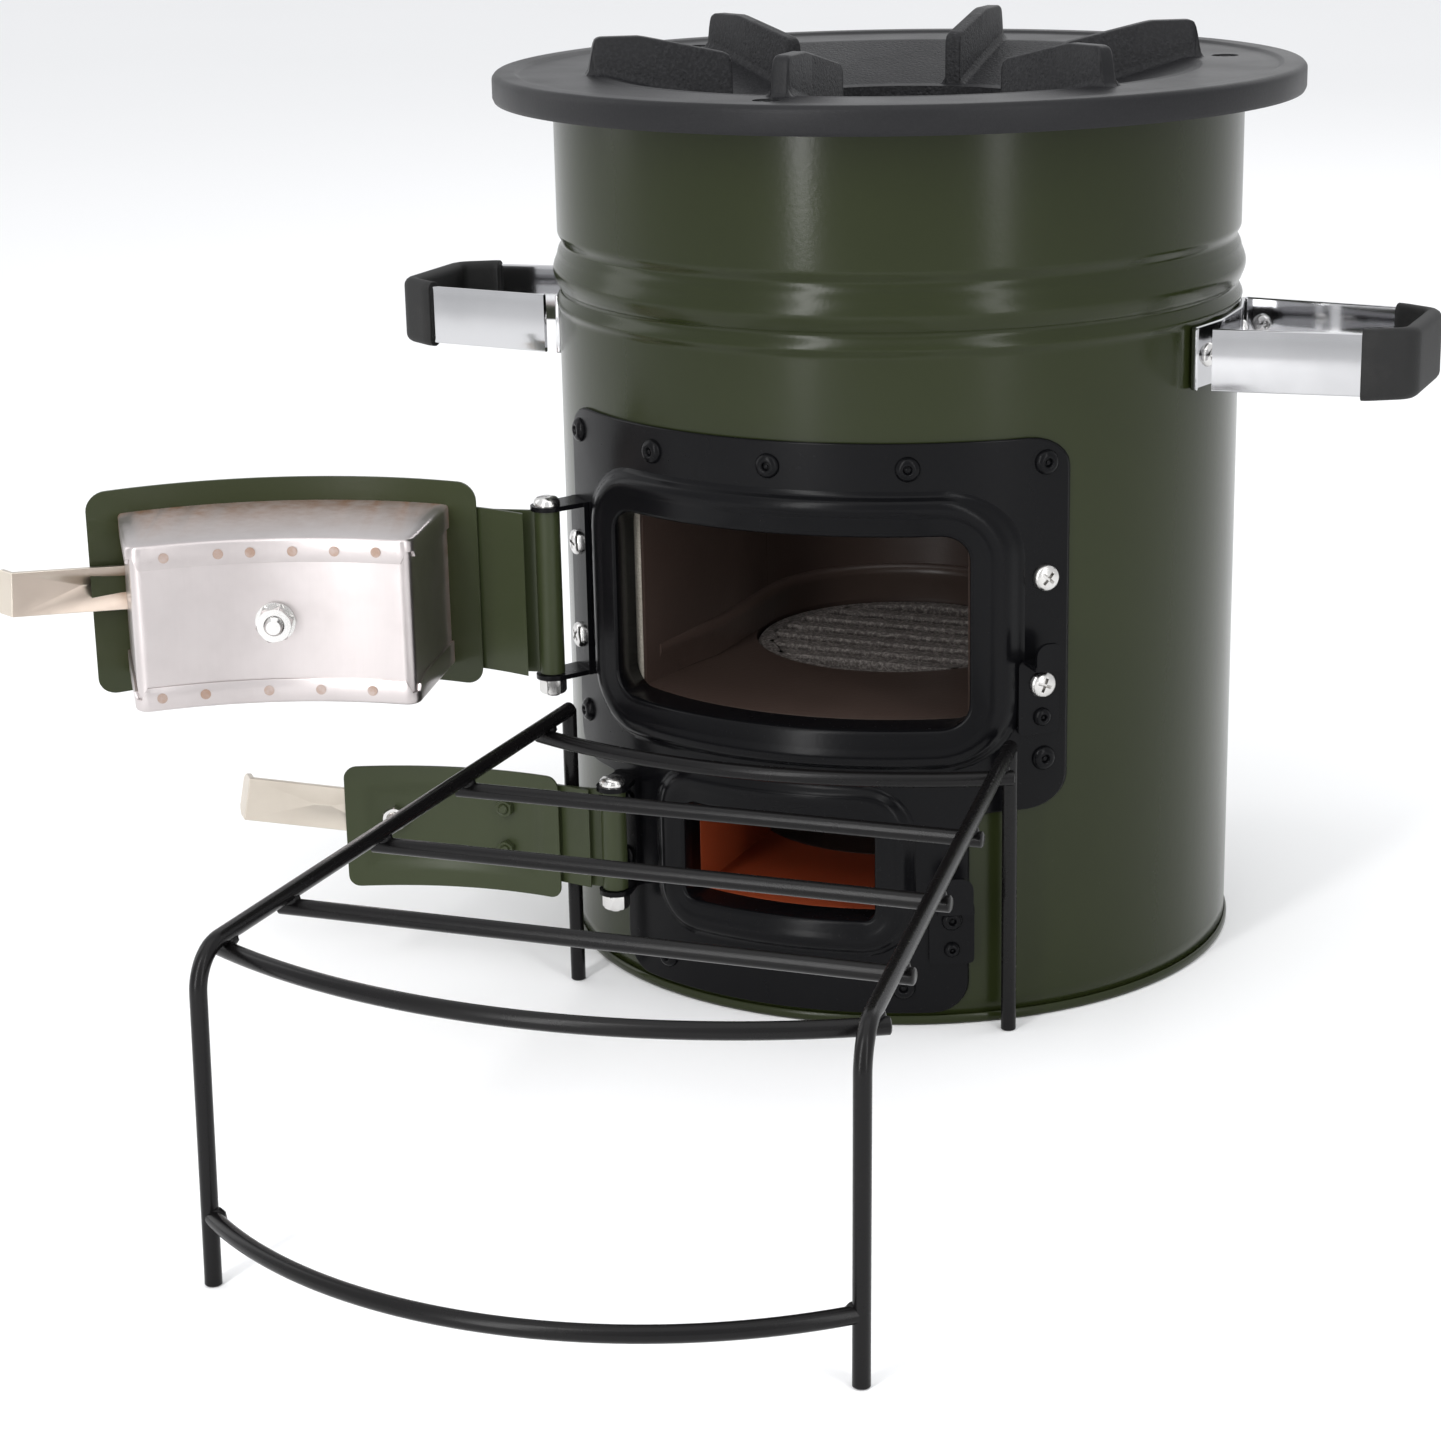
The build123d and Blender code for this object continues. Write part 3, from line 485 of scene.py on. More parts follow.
# ---------------------------------------------------------------- finishes
@dataclass(frozen=True)
class Paint:
    """Sprayed or dipped coat: fine orange peel, faint dust and slightly worn colour."""

    name: str
    colour: Colour
    worn: Colour
    rough: float
    peel: float = 0.03
    gloss: float = 0.5
    coat: float = 0.0
    grain: float = 0.0

    def build(self) -> bpy.types.Material:
        """Makes the material."""
        recipe = Recipe(self.name)
        cloud = recipe.noise(9.0, 4.0, 0.6)
        dust = recipe.noise(420.0, 5.0, 0.7)
        colour = recipe.mix(cloud.steps(0.35, 0.75), self.colour, self.worn)
        rough = self.rough + cloud.steps(0.3, 0.8) * 0.05 + dust.steps(0.55, 0.8) * 0.07
        normal = recipe.bump(recipe.noise(700.0, 2.0, 0.4), self.peel)
        if self.grain > 0:
            normal = recipe.bump(recipe.noise(2600.0, 2.0, 0.6), self.grain, 1.0, normal)
        return recipe.dress(Base_Color=colour, Roughness=rough, Normal=normal, Specular_IOR_Level=self.gloss,
                            Coat_Weight=self.coat, Coat_Roughness=0.12)


@dataclass(frozen=True)
class Casting:
    """Sand-cast iron: coarse grain, pits and a dull sheen; smoother on its machined faces."""

    name: str
    colour: Colour
    high: Colour
    rough: float
    grain: float
    pits: float
    gloss: float = 0.4

    def build(self) -> bpy.types.Material:
        """Makes the material; the mesh says how sandy each point is."""
        recipe = Recipe(self.name)
        sandy = recipe.painted("sandy")
        grain = recipe.noise(900.0, 4.0, 0.65)
        pits = recipe.cells(700.0)
        colour = recipe.mix(grain.steps(0.4, 0.72) * sandy, self.colour, self.high)
        coarse = (grain * 0.7 + pits.steps(0.0, 0.5) * 0.3) * sandy
        normal = recipe.bump(coarse, self.grain)
        fine = recipe.bump(recipe.noise(2200.0, 3.0, 0.6), self.pits, 1.0, normal)
        rough = self.rough + sandy * 0.12 + recipe.noise(30.0).steps(0.3, 0.8) * 0.08
        return recipe.dress(Base_Color=colour, Roughness=rough, Normal=fine, Specular_IOR_Level=self.gloss)


@dataclass(frozen=True)
class Steel:
    """Bare or plated metal: drawn grain, smudges, heat tint and rust at the welds."""

    name: str
    colour: Colour
    shade: Colour
    rough: float
    brushing: float = 0.0
    smudge: float = 0.1
    stretch: Colour = (1.0, 1.0, 1.0)
    tint: Colour = (0.25, 0.12, 0.05)

    def build(self) -> bpy.types.Material:
        """Makes the material; the mesh says where it is stained."""
        recipe = Recipe(self.name)
        cloud = recipe.noise(28.0, 4.0, 0.6)
        lines = recipe.noise(900.0, 3.0, 0.7, self.stretch)
        colour = recipe.mix(cloud.steps(0.35, 0.75) * 0.7 + lines * 0.2, self.colour, self.shade)
        blotch = recipe.noise(160.0, 4.0, 0.7).steps(0.3, 0.7)
        stain = recipe.painted("stain")
        colour = recipe.mix(stain * (0.55 + blotch * 0.45), colour, self.tint)
        rough = self.rough + cloud.steps(0.4, 0.8) * self.smudge + stain * 0.25
        metal = 1.0 - stain * 0.55
        normal = recipe.bump(lines, self.brushing)
        return recipe.dress(Base_Color=colour, Roughness=rough, Metallic=metal, Normal=normal)


@dataclass(frozen=True)
class Rubber:
    """Moulded rubber with a fine matt grain and lighter rubbed patches."""

    name: str
    colour: Colour
    rubbed: Colour

    def build(self) -> bpy.types.Material:
        """Makes the material."""
        recipe = Recipe(self.name)
        patch = recipe.noise(60.0, 5.0, 0.65)
        colour = recipe.mix(patch.steps(0.45, 0.75), self.colour, self.rubbed)
        normal = recipe.bump(recipe.noise(1500.0, 3.0, 0.6), 0.08)
        return recipe.dress(Base_Color=colour, Roughness=0.55 + patch * 0.2, Normal=normal, Specular_IOR_Level=0.35)


@dataclass(frozen=True)
class Wool:
    """Packed mineral fibre."""

    name: str
    colour: Colour
    shade: Colour

    def build(self) -> bpy.types.Material:
        """Makes the material."""
        recipe = Recipe(self.name)
        fibre = recipe.noise(500.0, 6.0, 0.75, (1.0, 1.0, 4.0))
        colour = recipe.mix(fibre.steps(0.3, 0.7), self.colour, self.shade)
        return recipe.dress(Base_Color=colour, Roughness=0.95, Normal=recipe.bump(fibre, 0.8))


class Finish(Enum):
    """Every finish on the stove, by its name and its look."""

    ENAMEL = Paint("green_enamel", (0.0175, 0.0225, 0.0066), (0.0150, 0.0195, 0.0056), 0.19, 0.02, 0.22)
    DOOR = Paint("door_green", (0.033, 0.041, 0.0175), (0.029, 0.036, 0.0155), 0.32, 0.03, 0.25)
    BLACK = Paint("black_coat", (0.0028, 0.0028, 0.0034), (0.004, 0.004, 0.0046), 0.22, 0.02, 0.11)
    SHELF = Paint("shelf_black", (0.0038, 0.0035, 0.0038), (0.005, 0.0046, 0.0047), 0.24, 0.015, 0.20)
    LINER = Paint("dark_liner", (0.050, 0.033, 0.027), (0.075, 0.052, 0.043), 0.34, 0.05, 0.4)
    RED = Paint("red_oxide", (0.30, 0.052, 0.014), (0.21, 0.036, 0.011), 0.6, 0.06, 0.3, 0.0, 0.02)
    TOP = Casting("cast_iron_top", (0.0105, 0.0105, 0.0118), (0.024, 0.024, 0.026), 0.38, 0.35, 0.05, 0.2)
    RAW = Casting("cast_iron_grate", (0.092, 0.080, 0.073), (0.30, 0.27, 0.25), 0.5, 0.6, 0.08)
    PLUG = Steel("plug_stainless", (0.60, 0.555, 0.55), (0.49, 0.45, 0.445), 0.30, 0.010, 0.12, (1.0, 1.0, 0.06))
    LEVER = Steel("lever_stainless", (0.66, 0.60, 0.52), (0.55, 0.49, 0.42), 0.28, 0.012, 0.12, (0.06, 0.06, 1.0))
    CHROME = Steel("handle_chrome", (0.55, 0.55, 0.56), (0.46, 0.46, 0.47), 0.07, 0.002, 0.05)
    ZINC = Steel("zinc_hardware", (0.72, 0.71, 0.70), (0.55, 0.54, 0.52), 0.20, 0.01, 0.12)
    PLAIN = Steel("plain_steel", (0.42, 0.42, 0.42), (0.33, 0.33, 0.33), 0.38, 0.01, 0.12)
    GRIP = Rubber("grip_rubber", (0.007, 0.007, 0.007), (0.015, 0.0145, 0.014))
    WOOL = Wool("mineral_fill", (0.62, 0.58, 0.50), (0.45, 0.41, 0.34))


class Paintbox:
    """Materials that have been made, one for each finish."""

    made: dict[Finish, bpy.types.Material] = {}

    @classmethod
    def get(cls, finish: Finish) -> bpy.types.Material:
        """The finish's material."""
        if finish not in cls.made:
            cls.made[finish] = finish.value.build()
        return cls.made[finish]


Mark = Callable[[Vector], float]


def place_piece(name: str, form: Form, body: Body, finish: Finish, stands_for: Sequence[str] = (),
                bevel: float = 0.0, sharp: float = 38.0, marks: Optional[dict[str, Mark]] = None,
                solid: float = 0.0, rounds: int = 2) -> bpy.types.Object:
    """Turns a form into a piece that rides on its body.

    Args:
        name: Piece name.
        form: The mesh, in millimetres.
        body: What it rides on.
        finish: What it is dressed in.
        stands_for: CAD nodes that it replaces.
        bevel: Width of the softened edges, in millimetres.
        sharp: Edges turned further than this stay crisp, in degrees.
        marks: Values stored on the points, from each point in millimetres.
        solid: Wall thickness added inwards, in millimetres.
        rounds: Segments of the softened edges.

    Returns:
        The new object.
    """
    bmesh.ops.recalc_face_normals(form.mesh, faces=form.mesh.faces)
    data = bpy.data.meshes.new(name)
    form.mesh.to_mesh(data)
    form.mesh.free()
    for key in ("stain", "sandy"):
        rule = (marks or {}).get(key)
        if rule:
            layer = data.attributes.new(key, "FLOAT", "POINT")
            layer.data.foreach_set("value", [rule(vert.co) for vert in data.vertices])
    data.transform(Matrix.Scale(MM, 4))
    piece = bpy.data.objects.new(name, data)
    bpy.context.scene.collection.objects.link(piece)
    finish_mesh(piece, bevel, sharp, solid, rounds)
    data.materials.append(Paintbox.get(finish))
    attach(piece, body.value)
    if stands_for:
        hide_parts(*stands_for)
    log.info("%s: %d points on %s", name, len(data.vertices), body.value)
    return piece


def finish_mesh(piece: bpy.types.Object, bevel: float, sharp: float, solid: float, rounds: int) -> None:
    """Smooth shading with crisp edges, wall thickness and softened edges."""
    data = piece.data
    data.polygons.foreach_set("use_smooth", [True] * len(data.polygons))
    data.set_sharp_from_angle(angle=math.radians(sharp))
    if solid > 0:
        wall = piece.modifiers.new("wall", "SOLIDIFY")
        wall.thickness = solid * MM
        wall.offset = -1.0
    if bevel > 0:
        soft = piece.modifiers.new("soft", "BEVEL")
        soft.width = bevel * MM
        soft.segments = rounds
        soft.limit_method = "ANGLE"
        soft.angle_limit = math.radians(sharp)
        soft.harden_normals = True


def dress_node(node: str, finish: Finish, bevel: float = 0.0) -> None:
    """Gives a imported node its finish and, if asked, softened edges."""
    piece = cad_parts[node]
    piece.data.materials.clear()
    piece.data.materials.append(Paintbox.get(finish))
    if bevel > 0:
        weld = piece.modifiers.new("weld", "WELD")
        weld.merge_threshold = 0.01 * MM
        soft = piece.modifiers.new("soft", "BEVEL")
        soft.width = bevel * MM
        soft.segments = 2
        soft.limit_method = "ANGLE"
        soft.angle_limit = math.radians(38)
        soft.harden_normals = False
        shade = piece.modifiers.new("shade", "WEIGHTED_NORMAL")
        shade.keep_sharp = False
    log.info("%s keeps its packed shape", node)


# ---------------------------------------------------------------- fasteners
class Fasteners:
    """Rivets, screws, nuts and bolts that many sub-assemblies use."""

    @staticmethod
    def rivet(form: Form, place: Matrix, radius: float = 4.0) -> None:
        """Blind rivet with a domed head, a dimple and the broken mandrel in it."""
        k = radius / 4.0
        form.lathe([(0, -3), (2.0 * k, -3), (2.0 * k, 0), (radius, 0), (radius, 0.5), (3.75 * k, 1.1), (3.2 * k, 1.7),
                    (2.4 * k, 2.1), (1.8 * k, 2.15), (1.45 * k, 1.95), (1.25 * k, 1.1), (1.1 * k, 0.9),
                    (0.75 * k, 0.95), (0.7 * k, 1.5), (0.4 * k, 1.65), (0, 1.6)], place, 28)

    @staticmethod
    def screw(form: Form, place: Matrix, radius: float = 4.3, high: float = 2.5) -> None:
        """Pan-head screw with a tapered cross recess."""
        steps = 40
        turns = [2 * math.pi * step / steps for step in range(steps)]

        def dome(x: float, y: float) -> float:
            """Height of the head."""
            share = min((x * x + y * y) / (radius * radius), 1.0)
            return high * math.sqrt(max(1.0 - share ** 1.6, 0.0)) * 0.62 + high * 0.38

        def cross(long: float, half: float) -> Loop:
            """Cross outline."""
            return [(half, half), (half, long), (-half, long), (-half, half), (-long, half), (-long, -half),
                    (-half, -half), (-half, -long), (half, -long), (half, -half), (long, -half), (long, half)]

        rim = [(radius * math.cos(t), radius * math.sin(t)) for t in turns]
        mouth, floor = cross(2.35, 0.5), cross(1.5, 0.3)
        points = [Vector(p) for p in (*rim, *mouth, *floor)]
        for ring_r in (0.55, 0.78, 0.92):
            points += [Vector((radius * ring_r * math.cos(t), radius * ring_r * math.sin(t))) for t in turns]
        edges = [(n, (n + 1) % steps) for n in range(steps)]
        for start in (steps, steps + 12):
            edges += [(start + n, start + (n + 1) % 12) for n in range(12)]
        flat, _, faces, _, _, _ = delaunay_2d_cdt(points, edges, [], 0, 1e-5)
        made = []
        for spot in flat:
            deep = 1.5 if inside(spot.x * 0.995, spot.y * 0.995, floor) else 0.0
            made.append(form.mesh.verts.new(place @ Vector((spot.x, spot.y, dome(spot.x, spot.y) - deep))))
        for face in faces:
            form.mesh.faces.new([made[n] for n in face])
        skirt = [[place @ Vector((radius * math.cos(t), radius * math.sin(t), h)) for t in turns]
                 for h in (high * 0.38, 0.0)]
        shank = [[place @ Vector((2.0 * math.cos(t), 2.0 * math.sin(t), h)) for t in turns] for h in (0.0, -3.0)]
        form.skin(skirt + shank)
        bmesh.ops.remove_doubles(form.mesh, verts=form.mesh.verts, dist=0.001)

    @staticmethod
    def nut(form: Form, place: Matrix, across: float, high: float, bore: float) -> None:
        """Hex nut with chamfered corners and an open thread."""
        steps = 48
        outer, inner = [], []
        chamfer = across / 2 * 1.03

        def reach(turn: float) -> float:
            """Distance to the hexagon's side."""
            part = (turn + math.pi / 6) % (math.pi / 3) - math.pi / 6
            return across / 2 / math.cos(part)

        turns = [2 * math.pi * step / steps for step in range(steps)]
        for share, clipped in ((0.0, True), (0.12, False), (0.88, False), (1.0, True)):
            reaches = [min(reach(t), chamfer) if clipped else reach(t) for t in turns]
            outer.append([place @ Vector((r * math.cos(t), r * math.sin(t), high * share))
                          for r, t in zip(reaches, turns)])
        for share, wide in ((1.0, bore + 0.5), (0.88, bore), (0.12, bore), (0.0, bore + 0.5)):
            inner.append([place @ Vector((wide * math.cos(t), wide * math.sin(t), high * share)) for t in turns])
        form.skin(outer + inner, loop=True)

    @staticmethod
    def threaded(form: Form, place: Matrix, radius: float, start: float, end: float) -> None:
        """Bolt end with thread rings."""
        profile: list[Point] = [(0, start)]
        high = start
        while high < end - 0.9:
            profile += [(radius, high), (radius - 0.35, high + 0.4)]
            high += 0.8
        profile += [(radius - 0.1, end - 0.6), (radius - 0.6, end), (0, end)]
        form.lathe(profile, place, 24)


# ---------------------------------------------------------------- drum
@dataclass
class Drum:
    """Rolled drum with beads, base pan, inner covers and handles' seat."""

    radius: float = 115.0
    wall: float = 1.0
    low: float = 1.0
    top: float = 291.0
    columns: int = 288
    beads: tuple[tuple[float, float, float], ...] = (
        (222.0, 2.6, 0.9), (226.0, 2.2, -0.9), (232.6, 6.6, 1.7), (242.0, 3.6, -1.3))

    def bulge(self, z: float) -> float:
        """How far the beads push the wall out at a height."""
        total = 0.0
        for middle, half, deep in self.beads:
            share = (z - middle) / half
            if abs(share) < 1:
                total += deep * 0.5 * (1 + math.cos(math.pi * share))
        return total

    def build(self) -> None:
        """Makes the shell, the base and the hidden inner sheets."""
        heights = [self.low + step * 8.0 for step in range(27)]
        heights += [216.0 + step * 0.75 for step in range(42)]
        heights += [248.0 + step * 6.1 for step in range(8)] + [self.top]
        rows = []
        for z in sorted(set(heights)):
            reach = self.radius + self.bulge(z)
            rows.append([turned(reach, 360 * step / self.columns, z) for step in range(self.columns)])
        form = Form().skin(rows)
        gone = [face for face in form.mesh.faces if self.open_at(face.calc_center_median())]
        bmesh.ops.delete(form.mesh, geom=gone, context="FACES")
        place_piece("drum_shell", form, Body.STOVE, Finish.ENAMEL, ["body_shell"], solid=self.wall, sharp=60)
        edge = self.radius
        profile = [(0.0, 0.0), (edge - 1.0, 0.0), (edge + 0.5, 0.25), (edge + 0.98, 1.0), (edge + 1.0, 2.4),
                   (edge + 0.7, 3.2), (edge + 0.2, 3.45), (edge + 0.02, 3.3), (edge + 0.02, self.low), (0.0, self.low)]
        place_piece("base_rim", Form().lathe(profile, steps=self.columns), Body.STOVE, Finish.ENAMEL,
                    ["base_pan"], sharp=70)
        dress_node("insulation", Finish.WOOL)
        dress_node("insulation_cover", Finish.PLAIN)

    @staticmethod
    def open_at(spot: Vector) -> bool:
        """True behind the two door openings."""
        if spot.y > 0:
            return False
        fuel = abs(spot.x) < 64 and 98 < spot.z < 166
        air = abs(spot.x) < 36 and 34 < spot.z < 73
        return fuel or air


# ---------------------------------------------------------------- door frame
@dataclass(frozen=True)
class Opening:
    """A door opening in the front plate and the pressed ridge round it."""

    half: float
    low: float
    high: float
    corner: float
    wide: float
    proud: float

    def loop(self, by: float) -> Loop:
        """The opening's outline, larger by a distance."""
        return rounded(-self.half - by, self.half + by, self.low - by, self.high + by,
                       max(self.corner + by, 0.6), 8, (22, 8))

    def ridge(self, form: Form, seat: float, deep: float, wall: float) -> None:
        """Adds the ridge and the flange that goes into the drum."""
        w, p = self.wide, self.proud
        profile = [(w + 2.4, 0.03), (w + 1.3, 0.25), (w + 0.6, 0.9), (w, 1.9 * p / 3.2), (w - 0.8, 0.86 * p),
                   (w - 1.8, 0.98 * p), (w - 3.0, p), (w - 4.2, 0.95 * p), (w - 5.2, 0.82 * p),
                   (w - 6.2, 0.72 * p), (1.6, 0.58 * p), (0.7, 0.48 * p), (0.15, 0.25 * p), (0.0, -0.3),
                   (0.0, -deep), (wall, -deep), (wall, -1.7), (w + 2.4, -1.2)]
        rows = [[onto(seat + rise)(x, z, 0) for x, z in self.loop(by)] for by, rise in profile]
        form.skin(rows, loop=True)


@dataclass
class DoorFrame:
    """Black plate riveted to the drum, with its ridges, fasteners, catches and brackets."""

    drum: float = 115.0
    thick: float = 1.5
    flange: float = 11.0
    wall: float = 1.2
    catch_thick: float = 1.6
    catch_hook: float = 125.4
    fuel: Opening = Opening(61.0, 101.0, 163.5, 8.0, 12.0, 3.2)
    air: Opening = Opening(33.2, 36.5, 70.0, 4.0, 10.0, 2.5)
    rivets: tuple[Point, ...] = ((0, 185), (21.9, 185), (-21.9, 185), (43.8, 185), (-43.8, 185),
                                 (43.7, 88.7), (-43.7, 88.7), (21, 13.7), (-21, 13.7))

    def build(self) -> None:
        """Makes the plate with its ridges and all that is fixed to it."""
        outline = softened([(-60.5, 4.5, 10), (60.5, 4.5, 10), (60.5, 72, 7), (86, 72, 10), (86, 193, 10),
                            (-86, 193, 10), (-86, 72, 10), (-60.5, 72, 7)])
        holes = [self.fuel.loop(self.fuel.wide + 1.0), self.air.loop(self.air.wide + 1.0)]
        form = Form().sheet(outline, holes, onto(self.drum), self.thick, (4.0, 14.0))
        place_piece("front_plate", form, Body.STOVE, Finish.BLACK, bevel=0.45)
        for name, opening in (("fuel_ridge", self.fuel), ("air_ridge", self.air)):
            form = Form()
            opening.ridge(form, self.drum + self.thick, self.flange, self.wall)
            place_piece(name, form, Body.STOVE, Finish.BLACK, ["door_frame"] if name == "fuel_ridge" else (),
                        sharp=75)
        self.fasteners()
        for node in ("fuel_hinge_bracket", "air_hinge_bracket"):
            dress_node(node, Finish.BLACK, 0.35)
        self.catch("fuel", 42.5, 13.6, 9.4, (97.4, 122.0, 129.2))
        self.catch("air", 28.6, 14.5, 11.0, (22.0, 43.5, 54.0))

    def catch(self, name: str, angle: float, wide: float, tab: float, heights: tuple[float, float, float]) -> None:
        """Catch plate that steps outwards under a tab with a rounded top.

        Args:
            name: Which door it holds.
            angle: Its middle.
            wide: Width of the plate.
            tab: Width of the tab.
            heights: Plate bottom, slot floor and tab top.
        """
        bottom, floor, top = heights
        seat = self.drum + self.thick
        hook = self.catch_hook

        def wrapped(radius: float) -> Placer:
            """Maps a drawing that is centred on the catch onto a cylinder."""
            return lambda x, z, proud: turned(radius + proud, angle + math.degrees(x / radius), z)

        def step(x: float, depth: float, proud: float) -> Vector:
            """Level shelf between the plate and the tab."""
            return turned(seat + depth, angle + math.degrees(x / seat), floor - self.catch_thick + proud)

        half, narrow = wide / 2, tab / 2
        deep = hook + self.catch_thick - seat
        plate = [(-half, bottom, 1.5), (half, bottom, 1.5), (half, floor, 2.5), (-half, floor, 2.5)]
        hood = [(-narrow, floor - self.catch_thick, 0.6), (narrow, floor - self.catch_thick, 0.6),
                (narrow, top, 3.9), (-narrow, top, 3.9)]
        shelf = [(-narrow, 0.4, 0.2), (narrow, 0.4, 0.2), (narrow, deep - 0.2, 0.2), (-narrow, deep - 0.2, 0.2)]
        form = Form().sheet(softened(plate, 5, 3.0), [], wrapped(seat), self.catch_thick, (3.0, 3.0))
        form.sheet(softened(hood, 6, 3.0), [], wrapped(hook), self.catch_thick, (3.0, 3.0))
        form.sheet(softened(shelf, 2, 3.0), [], step, self.catch_thick - 0.05, (3.0, 3.0))
        place_piece(f"{name}_catch_plate", form, Body.STOVE, Finish.BLACK, [f"{name}_catch"], bevel=0.3)

    def fasteners(self) -> None:
        """Rivets and screws of the plate, the catches and the hinge brackets."""
        seat = self.drum + self.thick
        proud = seat + 1.6
        groups: list[tuple[str, str, list[tuple[float, float, float, float]], bool, Finish]] = [
            ("plate_rivets", "frame_rivets", [(a, z, seat, 4.0) for a, z in self.rivets], False, Finish.BLACK),
            ("plate_screw", "frame_screw", [(43.8, 148.0, seat, 4.3)], True, Finish.ZINC),
            ("fuel_catch_screws", "fuel_catch_screw", [(43.0, 113.8, proud, 4.3)], True, Finish.ZINC),
            ("fuel_catch_rivets", "fuel_catch_rivet", [(43.0, 103.0, proud, 3.0)], False, Finish.BLACK),
            ("air_catch_heads", "air_catch_rivets",
             [(28.6, 37.0, proud, 3.4), (28.6, 27.0, proud, 2.6)], False, Finish.BLACK),
            ("fuel_bracket_screws", "fuel_hinge_screws",
             [(-44.2, 147.0, proud, 4.3), (-44.2, 115.0, proud, 4.3)], True, Finish.ZINC),
            ("air_bracket_rivets", "air_hinge_rivets",
             [(-30.4, 64.5, proud, 4.0), (-30.4, 44.5, proud, 4.0)], False, Finish.BLACK),
        ]
        for name, node, spots, crossed, finish in groups:
            form = Form()
            for angle, z, base, radius in spots:
                if crossed:
                    Fasteners.screw(form, outward(base - 0.2, angle, z) @ Matrix.Rotation(0.5 + z, 4, "Z"), radius)
                else:
                    Fasteners.rivet(form, outward(base - 0.2, angle, z), radius)
            place_piece(name, form, Body.STOVE, finish, [node], sharp=50)


# ---------------------------------------------------------------- fire chamber
@dataclass
class Chamber:
    """Riser, fuel and air ducts and the grate."""

    riser: float = 50.0
    grate_r: float = 49.3
    grate_z: float = 94.6
    grate_high: float = 5.0
    bar: float = 7.0
    pitch: float = 12.0

    def build(self) -> None:
        """Makes the liner and the grate."""
        for node in ("riser", "fuel_duct", "fire_cup"):
            dress_node(node, Finish.LINER, 0.4)
        dress_node("air_duct", Finish.RED, 0.3)
        self.lip()
        self.grate()

    def lip(self) -> None:
        """Rolled rim of the inner cup, along both sides of the duct and round the back."""
        plan = [(-57.6, -80.0), (-54.0, -62.0), (-50.2, -47.5)]
        mirror = [Vector((-x, y, 0)) for x, y in reversed(plan)]
        arc = [Vector((self.riser * math.cos(math.radians(a)), self.riser * math.sin(math.radians(a)), 0))
               for a in range(180, -1, -6)]
        path = [Vector((x, y, 0)) for x, y in plan] + arc + mirror
        profile = [(0.2, 101.2), (-1.8, 101.2), (-2.2, 108.0), (-3.0, 110.6), (-2.8, 112.6), (-1.4, 113.8),
                   (0.2, 114.0)]
        rows = []
        for number, spot in enumerate(path):
            way = (path[min(number + 1, len(path) - 1)] - path[max(number - 1, 0)]).normalized()
            side = Vector((-way.y, way.x, 0))
            rows.append([spot + side * reach + Vector((0, 0, z)) for reach, z in profile])
        place_piece("cup_rim", Form().skin(rows, capped=True), Body.STOVE, Finish.LINER, sharp=70)

    def grate(self) -> None:
        """Cast ring with transverse bars."""
        form = Form()
        low, top = self.grate_z, self.grate_z + self.grate_high
        outer, inner = self.grate_r, self.grate_r - 6.0
        form.lathe([(inner, low), (outer, low), (outer, top - 0.8), (outer - 0.8, top), (inner + 0.8, top),
                    (inner, top - 0.8)], steps=96, loop=True)
        for number in range(6):
            y = (number - 2.5) * self.pitch
            half = math.sqrt(inner * inner - y * y) + 1.5
            soft = 0.9
            section = [(-self.bar / 2 + 0.5, low), (self.bar / 2 - 0.5, low), (self.bar / 2, top - soft),
                       (self.bar / 2 - soft, top), (-self.bar / 2 + soft, top), (-self.bar / 2, top - soft)]
            rows = [[Vector((-half + 2 * half * step / 24, y + dy, z)) for dy, z in section] for step in range(25)]
            form.skin(rows, capped=True)
        place_piece("fire_grate", form, Body.GRATE, Finish.RAW, ["grate"], marks={"sandy": lambda spot: 1.0})


